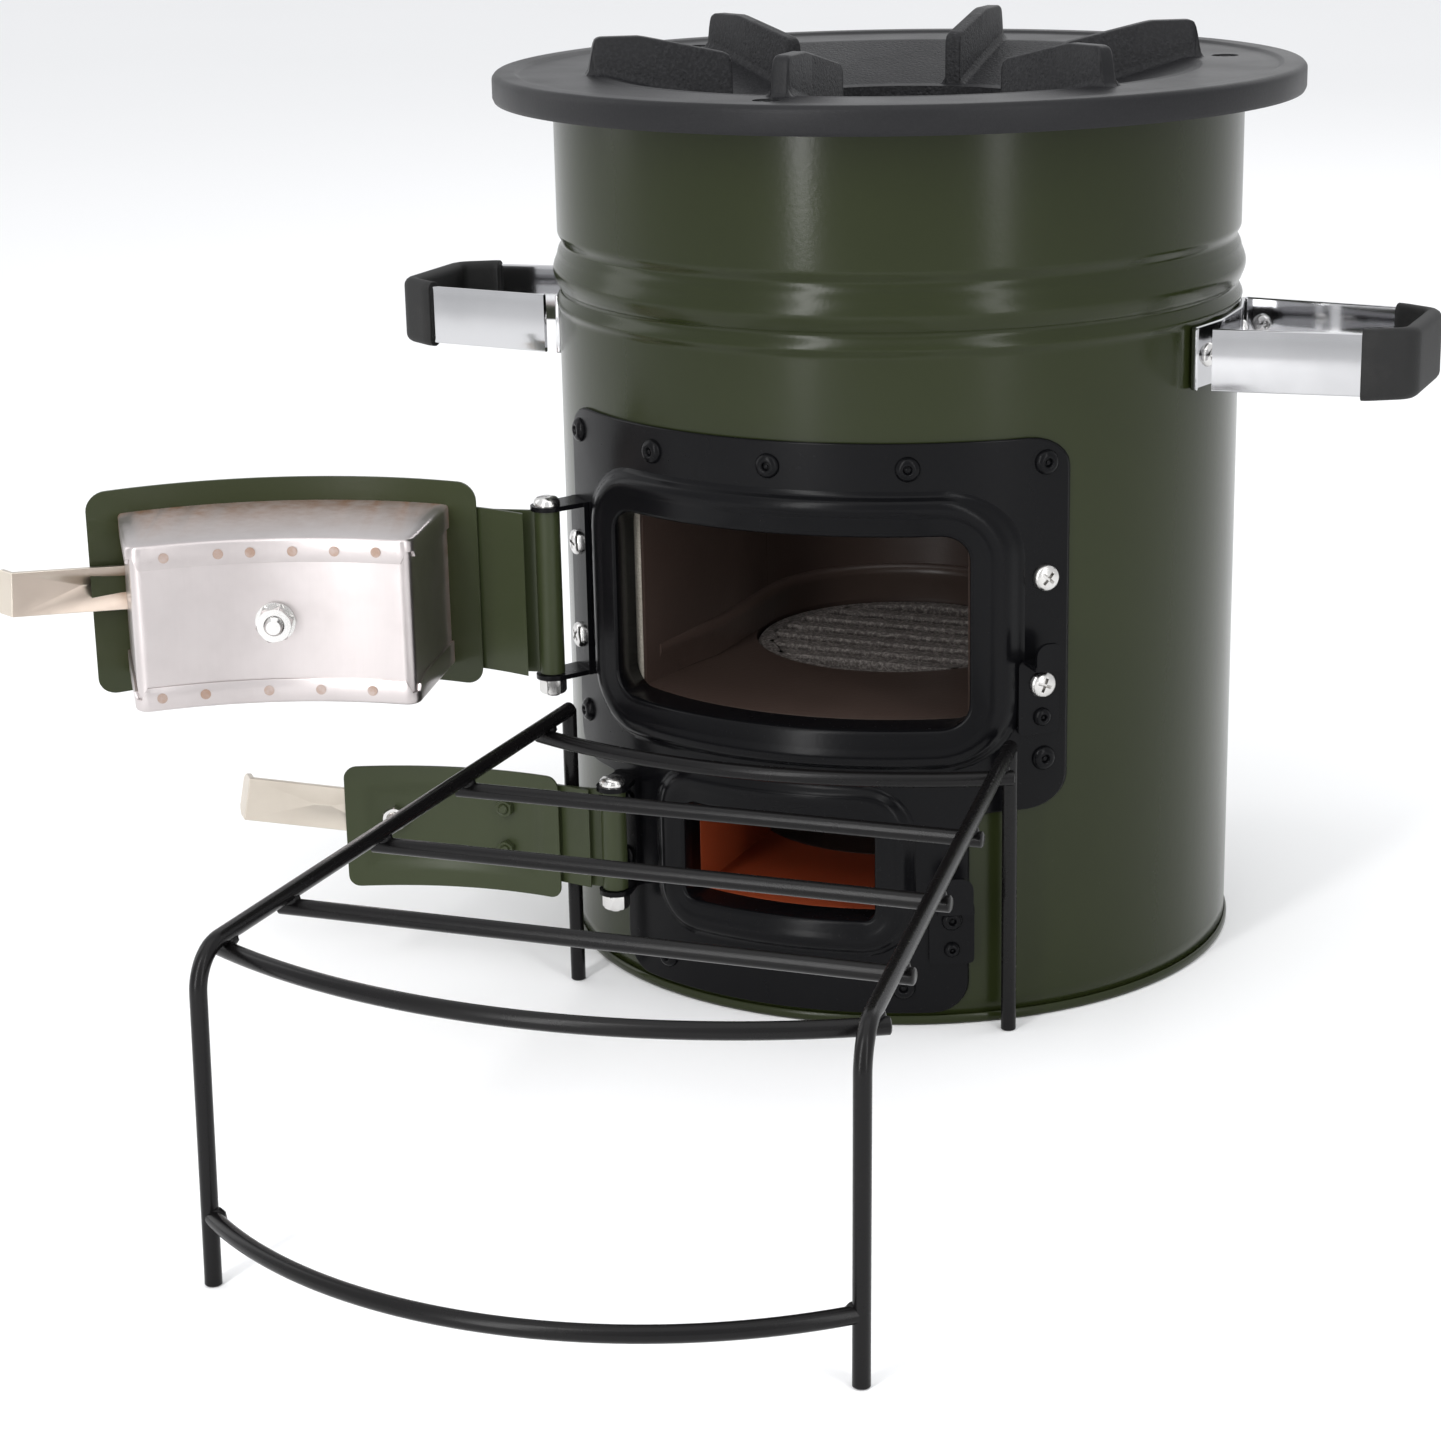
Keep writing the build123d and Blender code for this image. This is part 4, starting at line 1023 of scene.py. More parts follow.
# ---------------------------------------------------------------- cooktop
@dataclass
class Cooktop:
    """Cast top with a raised border, a sandy bowl and six pot ribs."""

    outer: float = 134.9
    rim_z: float = 298.0
    ring_z: float = 297.0
    bowl_r: float = 98.0
    floor_r: float = 57.0
    floor_z: float = 285.5
    bore: float = 50.0
    rib_half: float = 2.7
    rib_top: float = 309.3
    ribs: int = 6

    def ground(self, r: float) -> float:
        """Height of the casting without its ribs."""
        if r >= self.outer - 7.6:
            return self.rim_z - max(r - (self.outer - 1.8), 0.0) ** 2 * 0.5
        if r >= self.outer - 9.2:
            return self.ring_z + (r - self.outer + 9.2) / 1.6
        if r >= self.bowl_r + 2:
            return self.ring_z
        share = max((r - self.floor_r) / (self.bowl_r + 2 - self.floor_r), 0.0)
        return self.floor_z + (self.ring_z - self.floor_z) * min(share * 1.04, 1.0) ** 0.95

    def crest(self, r: float) -> float:
        """Height of a rib's top, or a low value outside it."""
        spots = ((55.2, 280.0), (55.6, 300.5), (56.4, 302.3), (58.0, 303.2), (84.0, 308.9), (86.5, self.rib_top),
                 (99.0, self.rib_top), (100.6, 308.7), (101.6, 306.5), (103.0, 298.6), (104.2, 296.0))
        if r <= spots[0][0] or r >= spots[-1][0]:
            return 0.0
        for (r0, z0), (r1, z1) in zip(spots, spots[1:]):
            if r0 <= r <= r1:
                return z0 + (z1 - z0) * (r - r0) / (r1 - r0)
        return 0.0

    def height(self, r: float, off: float) -> float:
        """Height at a radius and a distance from the nearest rib's middle plane."""
        ground, crest = self.ground(r), self.crest(r)
        if crest <= ground:
            return ground
        off = abs(off)
        if off <= self.rib_half:
            round_off = max(off - (self.rib_half - 0.9), 0.0) ** 2 * 1.0
            return max(crest - round_off, ground)
        foot = max(1.0 - (off - self.rib_half) / 2.2, 0.0) ** 2 * 2.4
        return min(ground + foot, crest)

    def build(self) -> None:
        """Makes the casting and dresses the hidden fixings."""
        offs = [0.0, 0.9, 1.8, 2.3, 2.6, 2.72, 2.95, 3.3, 3.8, 4.4, 5.2]
        radii = [self.bore, 50.6, 52, 54, 55.0, 55.3, 55.6, 56.0, 56.4, 57.2, 58.2]
        radii += [60 + 2.2 * step for step in range(12)] + [86.5, 88.5, 91, 94, 97, 98.2, 99.2]
        radii += [100.0, 100.7, 101.3, 101.9, 102.5, 103.1, 104.0, 105, 107, 110, 114, 118, 122, 125.4, 126.2, 127.0]
        radii += [127.6, 129, 131, 132.6, 133.4, 134.0, 134.5, 134.85]
        rows: list[list[Vector]] = []
        count = self.ribs
        for r in radii:
            row = []
            for rib in range(count):
                middle = math.radians(30 + 360 * rib / count)
                edge = math.asin(offs[-1] / r)
                half = math.pi / count
                spots = [(-half + (half - edge) * k / 10, 9.0) for k in range(10)]
                spots += [(math.asin(off / r), off) for off in [-o for o in reversed(offs)] + offs[1:]]
                spots += [(edge + (half - edge) * k / 10, 9.0) for k in range(1, 10)]
                for turn, off in spots:
                    z = self.height(r, off) - (0.15 if r < 51 else 0.0)
                    row.append(Vector((r * math.cos(middle + turn), r * math.sin(middle + turn), z)))
            rows.append(row)
        below = [(134.9, 295.6), (134.9, 290.2), (134.3, 288.9), (131.6, 288.8), (130.9, 289.4), (130.9, 291.0),
                 (102.0, 291.0), (57.0, 279.5), (50.0, 279.5), (50.0, 284.4)]
        shape = [Vector((p.x, p.y)).normalized() for p in rows[-1]]
        for r, z in below:
            rows.append([Vector((d.x * r, d.y * r, z)) for d in shape])
        form = Form().skin(rows, loop=True)
        top = place_piece("cast_top", form, Body.STOVE, Finish.TOP, ["cooktop"], sharp=62,
                          marks={"sandy": self.sandy})
        self.drill(top)
        heads = Form()
        for angle in (0.0, 120.0, -120.0):
            spot = turned(112.0, angle)
            heads.lathe([(0, -20), (2, -20), (2, -1.6), (4.2, -1.6), (4.2, -0.9), (3.6, -0.5), (1.2, -0.4), (1.0, -1.2),
                         (0, -1.2)], upright(spot.x, spot.y, self.ring_z), 24)
        place_piece("top_screws", heads, Body.STOVE, Finish.BLACK, ["cooktop_screws"])
        dress_node("cooktop_brackets", Finish.PLAIN)

    @staticmethod
    def sandy(spot: Vector) -> float:
        """Rough in the bowl and on the ribs' flanks, smooth on the ring."""
        r = math.hypot(spot.x, spot.y)
        if r > 101:
            return 0.12
        return 1.0 if spot.z < 307.5 else 0.35

    def drill(self, top: bpy.types.Object) -> None:
        """Cuts the three screw seats."""
        form = Form()
        for angle in (0.0, 120.0, -120.0):
            spot = turned(112.0, angle)
            form.lathe([(0, -3), (4.6, -3), (4.6, 4), (0, 4)], upright(spot.x, spot.y, self.ring_z), 28)
        data = bpy.data.meshes.new("seats")
        bmesh.ops.recalc_face_normals(form.mesh, faces=form.mesh.faces)
        form.mesh.to_mesh(data)
        form.mesh.free()
        data.transform(Matrix.Scale(MM, 4))
        cutter = bpy.data.objects.new("seats", data)
        bpy.context.scene.collection.objects.link(cutter)
        cut = top.modifiers.new("seats", "BOOLEAN")
        cut.object = cutter
        cut.operation = "DIFFERENCE"
        cut.solver = "EXACT"
        bpy.context.view_layer.update()
        result = bpy.data.meshes.new_from_object(top.evaluated_get(bpy.context.evaluated_depsgraph_get()))
        top.modifiers.remove(cut)
        top.data = result
        bpy.data.objects.remove(cutter)


# ---------------------------------------------------------------- hinges
@dataclass
class Hinge:
    """Pin with a domed head and a lock nut, through two ears."""

    name: str
    radius: float
    angle: float
    low: float
    high: float

    def build(self) -> None:
        """Makes the pin and its nut."""
        spot = turned(self.radius, self.angle)
        top, bottom = self.high + 1.6, self.low - 1.6
        pin = Form().lathe([(0, bottom - 6), (2.1, bottom - 6), (2.5, bottom - 5.4), (2.5, top), (4.4, top),
                            (4.4, top + 0.9), (4.1, top + 1.8), (3.3, top + 2.6), (1.9, top + 3.0), (0, top + 3.05)],
                           upright(spot.x, spot.y, 0), 32)
        place_piece(f"{self.name}_pin", pin, Body.STOVE, Finish.ZINC, [f"{self.name}_hinge_pin"])
        nut = Form()
        Fasteners.nut(nut, upright(spot.x, spot.y, bottom - 5.0), 7.9, 5.0, 2.45)
        place_piece(f"{self.name}_pin_nut", nut, Body.STOVE, Finish.ZINC, [f"{self.name}_hinge_nut"], sharp=30)


# ---------------------------------------------------------------- latch levers
@dataclass
class Lever:
    """Curved stainless strap with an end bent straight out and an eye in it."""

    name: str
    node: str
    body: Body
    root: float
    end: float
    z: float
    tab: float
    rest: float
    hub: float
    bore: float
    seat: float = 123.2
    thick: float = 1.8
    wide: float = 15.0

    def build(self, door: Matrix) -> None:
        """Makes the strap and its end.

        Args:
            door: Turn of the shut door to where it stands.
        """
        x0, x1 = turned(self.seat, self.root).x, turned(self.seat, self.end).x
        half = self.wide / 2
        outline = [(x1, self.z - half), (x1, self.z + half)]
        reach = math.sqrt(max(self.hub ** 2 - half ** 2, 0.0))
        first = math.degrees(math.atan2(half, reach))
        steps = 20
        for step in range(steps + 1):
            turn = math.radians(first + (360 - 2 * first) * step / steps)
            outline.append((x0 + self.hub * math.cos(turn), self.z + self.hub * math.sin(turn)))
        outline.reverse()
        form = Form().sheet(outline, [circle(x0, self.z, self.bore)], onto(self.seat), self.thick, (4.0, 7.0))
        form.skin(self.rounded_end(), capped=True)
        form.moved(door @ tilt(self.seat, self.root, self.z, self.rest))
        place_piece(self.name, form, self.body, Finish.LEVER, [self.node], bevel=0.3)

    def rounded_end(self) -> list[list[Vector]]:
        """The tab that stands out of the strap's end, as rows across it."""
        place = outward(self.seat, self.end, self.z)
        half = self.wide / 2
        rows = []
        for reach, wide in ((0.05, half), (self.tab - 3.2, half), (self.tab - 1.9, half - 0.5),
                            (self.tab - 0.9, half - 1.4), (self.tab - 0.3, half - 2.4), (self.tab, half - 3.6)):
            rows.append([place @ Vector((x, y, reach)) for x, y in
                         ((-self.thick, -wide), (0.0, -wide), (0.0, wide), (-self.thick, wide))])
        return rows


# ---------------------------------------------------------------- fuel door
@dataclass
class FuelDoor:
    """Curved door skin with an insulated steel plug on its inside and a latch lever outside."""

    hinge_r: float = 130.0
    hinge_angle: float = -42.6
    open_by: float = 154.6
    skin: float = 120.0
    sheet: float = 1.2
    half: float = 64.5
    low: float = 98.7
    high: float = 168.0
    plug_root: float = 54.0
    plug_tip: float = 44.5
    plug_low: float = 105.0
    plug_high: float = 160.0
    deep: float = 54.0
    bolt_z: float = 132.3
    rim: float = 8.0

    @property
    def turn(self) -> Matrix:
        """Turn from shut to open."""
        return swing(self.hinge_r, self.hinge_angle, self.open_by)

    def build(self) -> None:
        """Makes the skin, the plug, its bolt and the lever."""
        outline = rounded(-self.half, self.half, self.low, self.high, 6.0, 8, (26, 8))
        form = Form().sheet(outline, [circle(0, self.bolt_z, 3.0)], onto(self.skin), self.sheet, (4.5, 12.0))
        form.moved(self.turn)
        place_piece("fuel_door_skin", form, Body.FUEL_DOOR, Finish.DOOR, ["fuel_door_panel"], bevel=0.45, rounds=3)
        dress_node("fuel_door_arm", Finish.DOOR, 0.3)
        dress_node("plug_fill", Finish.WOOL)
        self.plug()
        self.bolt()
        Hinge("fuel", self.hinge_r, self.hinge_angle, 104.0, 160.0).build()
        Lever("fuel_lever_strap", "fuel_latch_lever", Body.FUEL_LEVER, 0.0, 45.7, self.bolt_z, 9.5, 3.8, 9.0,
              3.05).build(self.turn)

    def plan(self, out: float, corner: float = 3.4, steps: int = 7) -> list[Vector]:
        """Plan of the plug's sides and inner face from one root to the other, moved outwards."""
        root, tip = self.plug_root + out, self.plug_tip + out
        root_y = -math.sqrt(self.skin ** 2 - root ** 2)

        def face(x: float) -> float:
            """Inner face's y at an x."""
            bow = math.sqrt(self.skin ** 2 - tip ** 2)
            sag = (self.skin - bow) * (1 - (x / tip) ** 2)
            return self.deep + out - bow - sag

        tip_y = face(tip)
        corner_spot = Vector((tip, tip_y))
        side_way = (Vector((root, root_y)) - corner_spot).normalized()
        face_way = (Vector((tip - 2, face(tip - 2))) - corner_spot).normalized()
        half = side_way.angle(face_way) / 2
        reach = (corner + out) / math.tan(half)
        centre = corner_spot + (side_way + face_way).normalized() * (corner + out) / math.sin(half)
        first = corner_spot + side_way * reach - centre
        last = corner_spot + face_way * reach - centre
        sweep = first.angle_signed(last)
        right = [Vector((root, root_y)).lerp(corner_spot + side_way * reach, k / 6) for k in range(6)]
        for step in range(steps + 1):
            turn = -sweep * step / steps
            right.append(Vector((centre.x + first.x * math.cos(turn) - first.y * math.sin(turn),
                                 centre.y + first.x * math.sin(turn) + first.y * math.cos(turn))))
        start = right[-1].x
        middle = [Vector((start - 2 * start * k / 24, 0)) for k in range(1, 24)]
        for spot in middle:
            spot.y = face(spot.x) if abs(spot.x) <= tip else tip_y
        left = [Vector((-spot.x, spot.y)) for spot in reversed(right)]
        return right + middle + left

    def stain(self, spot: Vector) -> float:
        """Heat and weld stain near the door skin and along the folded rims."""
        back = self.turn.inverted() @ spot
        depth = self.skin - math.hypot(back.x, back.y)
        near = max(1.0 - depth / 9.0, 0.0) ** 1.3
        speck = 0.5 + 0.5 * math.sin(back.x * 0.9) * math.sin(back.z * 1.7 + back.x * 0.31)
        return min(near * (0.5 + 0.6 * speck), 1.0)

    def plug(self) -> None:
        """Wall band between two trays whose rims are folded over it and spot welded."""
        walls = []
        for out, z in ((0.0, self.plug_low + 0.4), (0.0, self.plug_high - 0.4), (-0.8, self.plug_high - 0.4),
                       (-0.8, self.plug_low + 0.4)):
            walls.append([Vector((p.x, p.y, z)) for p in self.plan(out)])
        form = Form().skin(walls, around=False, loop=True)
        fine = Form()
        for level, way in ((self.plug_high, -1.0), (self.plug_low, 1.0)):
            self.tray(fine, level, way)
        for name, made in (("plug_wall", form), ("plug_trays", fine)):
            bmesh.ops.holes_fill(made.mesh, edges=[e for e in made.mesh.edges if e.is_boundary])
            made.moved(self.turn)
            place_piece(name, made, Body.FUEL_DOOR, Finish.PLUG, ["plug_box"] if name == "plug_wall" else (),
                        bevel=0.0, sharp=50, marks={"stain": self.stain})
        self.welds()

    def tray(self, form: Form, level: float, way: float) -> None:
        """Flat end of the plug with its folded rim.

        Args:
            form: Mesh to add to.
            level: Height of the flat end.
            way: Direction from the flat end towards the plug's middle.
        """
        profile = [(-2.2, 0.0), (-1.0, 0.0), (0.1, 0.12), (0.62, 0.5), (0.85, 1.1), (0.85, self.rim - 0.3),
                   (0.7, self.rim), (0.05, self.rim), (0.05, 1.2), (-0.6, 0.8), (-2.2, 0.8)]
        notch = {7, 8, 9, 10}
        rows = []
        base = self.plan(0.0)
        count = len(base)
        for out, down in profile:
            row = []
            for number, spot in enumerate(self.plan(out)):
                edge = min(number, count - 1 - number)
                short = 0.45 if edge in notch else (0.75 if edge in (6, 11) else 1.0)
                fall = down if down <= 1.2 else 1.2 + (down - 1.2) * short
                row.append(Vector((spot.x, spot.y, level + way * fall)))
            rows.append(row)
        form.skin(rows, around=False, loop=True)
        inner = [Vector((p.x, p.y, level)) for p in self.plan(-2.2)]
        across = [Vector((p.x, -math.sqrt(self.skin ** 2 - p.x ** 2), level)) for p in inner]
        shift = Vector((0, 0, way * 0.8))
        form.skin([inner, across, [p + shift for p in across], [p + shift for p in inner]], around=False, loop=True)

    def welds(self) -> None:
        """Spot-weld marks along both rims."""
        form = Form()
        rim = self.plan(0.85)
        count = len(rim)
        for level, way, picks in ((self.plug_high, -1.0, (15, 20, 23, 27, 31, 35)),
                                  (self.plug_low, 1.0, (14, 18, 24, 29, 34))):
            for number in picks:
                here, after = rim[number], rim[min(number + 1, count - 1)]
                along = (after - here).normalized()
                normal = Vector((-along.y, along.x, 0))
                place = Matrix.Translation((here.x, here.y, level + way * 4.4)) @ \
                    normal.to_track_quat("Z", "Y").to_matrix().to_4x4()
                form.lathe([(0, -0.3), (1.7, -0.3), (1.6, 0.1), (1.2, 0.22), (0.9, 0.05), (0.4, 0.12), (0, 0.15)],
                           place, 18)
        form.moved(self.turn)
        place_piece("plug_welds", form, Body.FUEL_DOOR, Finish.PLUG, marks={"stain": lambda spot: 0.75})

    def bolt(self) -> None:
        """Through bolt: round head and spacer outside, washer and nut on the plug."""
        face = self.skin - self.deep
        place = outward(0, 0, self.bolt_z)
        form = Form().lathe([(0, 127.9), (1.6, 127.9), (1.9, 128.2), (4.6, 127.6), (6.1, 126.6), (6.5, 125.4),
                             (6.5, 125.05), (3.0, 125.05), (3.0, 123.0), (5.0, 123.0), (5.0, 121.4), (3.0, 121.4),
                             (3.0, face - 4.5), (0, face - 4.5)][::-1], place, 40)
        Fasteners.threaded(form, place @ Matrix.Rotation(math.pi, 4, "X"), 2.95, -(face - 1.2), -(face - 8.7))
        form.moved(self.turn)
        place_piece("plug_bolt", form, Body.FUEL_DOOR, Finish.ZINC, ["fuel_door_bolt"], sharp=35)
        nut = Form().lathe([(3.1, face - 1.2), (6.5, face - 1.2), (6.5, face - 0.1), (3.1, face - 0.1)], place, 40,
                           loop=True)
        Fasteners.nut(nut, outward(face - 6.2, 0, self.bolt_z) @ Matrix.Rotation(0.35, 4, "Z"), 10.6, 5.0, 2.9)
        nut.moved(self.turn)
        place_piece("plug_nut", nut, Body.FUEL_DOOR, Finish.ZINC, ["fuel_door_nut"], sharp=28)


# ---------------------------------------------------------------- air door
@dataclass
class AirDoor:
    """Small curved door with a pressed field and its own latch lever."""

    hinge_r: float = 127.5
    hinge_angle: float = -27.3
    open_by: float = 168.0
    skin: float = 120.0
    sheet: float = 1.2
    half: float = 37.3
    shift: float = -2.3
    low: float = 32.0
    high: float = 74.5
    inset: float = 8.0
    step: float = 1.2
    lever_root: float = 9.0
    lever_z: float = 56.0

    @property
    def turn(self) -> Matrix:
        """Turn from shut to open."""
        return swing(self.hinge_r, self.hinge_angle, self.open_by)

    def pressed(self, x: float, z: float, proud: float) -> Vector:
        """Point on the panel with its raised field and rounded step."""
        gap = min(x - (self.shift - self.half), self.shift + self.half - x, z - self.low, self.high - z)
        share = min(max((gap - self.inset + 1.6) / 3.2, 0.0), 1.0)
        rise = self.step * share * share * (3 - 2 * share)
        return onto(self.skin)(x, z, proud + rise)

    def build(self) -> None:
        """Makes the panel, its screws, the pivot and the lever."""
        x0, x1 = self.shift - self.half, self.shift + self.half
        outline = rounded(x0, x1, self.low, self.high, 4.0, 6, (30, 16))
        root = turned(self.skin + 1, self.lever_root).x
        form = Form().sheet(outline, [circle(root, self.lever_z, 2.5)], self.pressed, self.sheet, (1.6, 1.6))
        form.moved(self.turn)
        place_piece("air_door_skin", form, Body.AIR_DOOR, Finish.DOOR, ["air_door_panel"], bevel=0.3, sharp=50)
        dress_node("air_door_arm", Finish.DOOR, 0.3)
        self.fixings()
        Hinge("air", self.hinge_r, self.hinge_angle, 37.0, 71.5).build()
        Lever("air_lever_strap", "air_latch_lever", Body.AIR_LEVER, self.lever_root, 32.6, self.lever_z, 8.0, 11.0,
              7.5, 2.55).build(self.turn)

    def fixings(self) -> None:
        """Two painted screws that hold the arm, and the bright lever pivot."""
        inner = self.skin + self.step - 0.2
        outer = self.skin + 2 * self.sheet + self.step
        form = Form()
        for z in (self.lever_z - 9.0, self.lever_z + 5.5):
            place = outward(0, -9.5, z)
            form.lathe([(0, inner - 3.2), (1.2, inner - 3.2), (1.6, inner - 2.8), (1.6, outer), (3.0, outer),
                        (2.9, outer + 0.7), (1.8, outer + 1.15), (0, outer + 1.2)], place, 24)
            Fasteners.nut(form, outward(inner - 2.4, -9.5, z), 5.4, 2.4, 1.55)
        form.moved(self.turn)
        place_piece("air_arm_screws", form, Body.AIR_DOOR, Finish.DOOR, ["air_door_nuts"], sharp=30)
        seat = 123.2
        place = outward(0, self.lever_root, self.lever_z)
        pivot = Form().lathe([(0, inner - 4), (2.1, inner - 4), (2.5, inner - 3.5), (2.5, inner + 0.4),
                              (2.5, self.skin + self.sheet + self.step + 0.2),
                              (4.4, self.skin + self.sheet + self.step + 0.2), (4.4, seat - 0.2), (2.5, seat - 0.2),
                              (2.5, seat + 1.85), (5.0, seat + 1.85), (4.9, seat + 2.8), (3.6, seat + 3.7),
                              (0, seat + 3.85)], place, 32)
        Fasteners.nut(pivot, outward(inner - 3.0, self.lever_root, self.lever_z), 7.6, 3.0, 2.45)
        pivot.moved(self.turn)
        place_piece("air_lever_pin", pivot, Body.AIR_DOOR, Finish.ZINC, ["air_lever_pivot"], sharp=30)


# ---------------------------------------------------------------- carrying handles
@dataclass
class Handle:
    """Bent chrome strap with a rubber grip, riveted to the drum."""

    side: int
    low: float = 199.8
    high: float = 219.8
    half: float = 32.0
    tip: float = 25.0
    neck: float = 167.0
    out: float = 180.0
    strap: float = 1.6
    drum: float = 115.0
    grip_thick: float = 3.0

    @property
    def name(self) -> str:
        """Left or right."""
        return "right" if self.side > 0 else "left"

    def path(self) -> list[Vector]:
        """Middle line of the strap in plan, on the +X side, from the front foot to the rear one."""
        mid = self.strap / 2
        seat = self.drum + mid
        root = math.degrees(math.asin(self.half / self.drum))
        start = turned(seat + 0.4, 90 - root).xy
        foot = 13.0
        front = [(seat, -foot, 0.0), (start.x, start.y, 1.6), (self.neck, -self.tip - 2 + mid, 9.0),
                 (self.out - mid, -self.tip + 6, 7.0)]
        shape = softened(front + [(x, -y, r) for x, y, r in reversed(front)], 7, 5.0)
        cut = max(range(len(shape)), key=lambda n: (Vector(shape[n]) - Vector(shape[n - 1])).length
                  if shape[n][0] < 120 and shape[n - 1][0] < 120 else 0)
        ordered = shape[cut:] + shape[:cut]
        return [Vector((x, y, 0)) for x, y in ordered]

    def band(self, path: Sequence[Vector], inner: float, outer: float, low: float, high: float,
             soft: float) -> Form:
        """Strap section swept along a path: a rectangle with rounded corners.

        Args:
            path: Middle line in plan.
            inner: Reach towards the inside of the loop.
            outer: Reach towards the outside.
            low: Lower edge.
            high: Upper edge.
            soft: Radius of the section's corners.

        Returns:
            The form.
        """
        section = rounded(-inner, outer, low, high, soft, 4, (1, 2))
        rows = []
        for number, spot in enumerate(path):
            way = (path[min(number + 1, len(path) - 1)] - path[max(number - 1, 0)]).normalized()
            side = Vector((way.y, -way.x, 0))
            rows.append([spot + side * reach + Vector((0, 0, z)) for reach, z in section])
        form = Form().skin(rows, capped=True)
        if self.side < 0:
            form.moved(Matrix.Scale(-1, 4, (1, 0, 0)))
        return form

    def build(self) -> None:
        """Makes the strap, the grip and the rivets."""
        path = self.path()
        band = self.band(path, self.strap / 2, self.strap / 2, self.low, self.high, 0.5)
        place_piece(f"{self.name}_strap", band, Body.STOVE, Finish.CHROME, [f"{self.name}_handle"], sharp=60)
        far = [spot for spot in path if spot.x > 160.5]
        thick = self.grip_thick + self.strap / 2
        grip = self.band(far, thick, 0.8 + self.grip_thick * 0.5, self.low - 1.5, self.high + 1.5, 2.95)
        place_piece(f"{self.name}_sleeve", grip, Body.STOVE, Finish.GRIP, [f"{self.name}_grip"], bevel=0.8, rounds=3)
        rivets = Form()
        for y in (-22.0, 22.0):
            angle = 90 * self.side + math.degrees(y / self.drum)
            Fasteners.rivet(rivets, outward(self.drum + self.strap - 0.2, angle, (self.low + self.high) / 2))
        place_piece(f"{self.name}_strap_rivets", rivets, Body.STOVE, Finish.ZINC, [f"{self.name}_handle_rivets"])


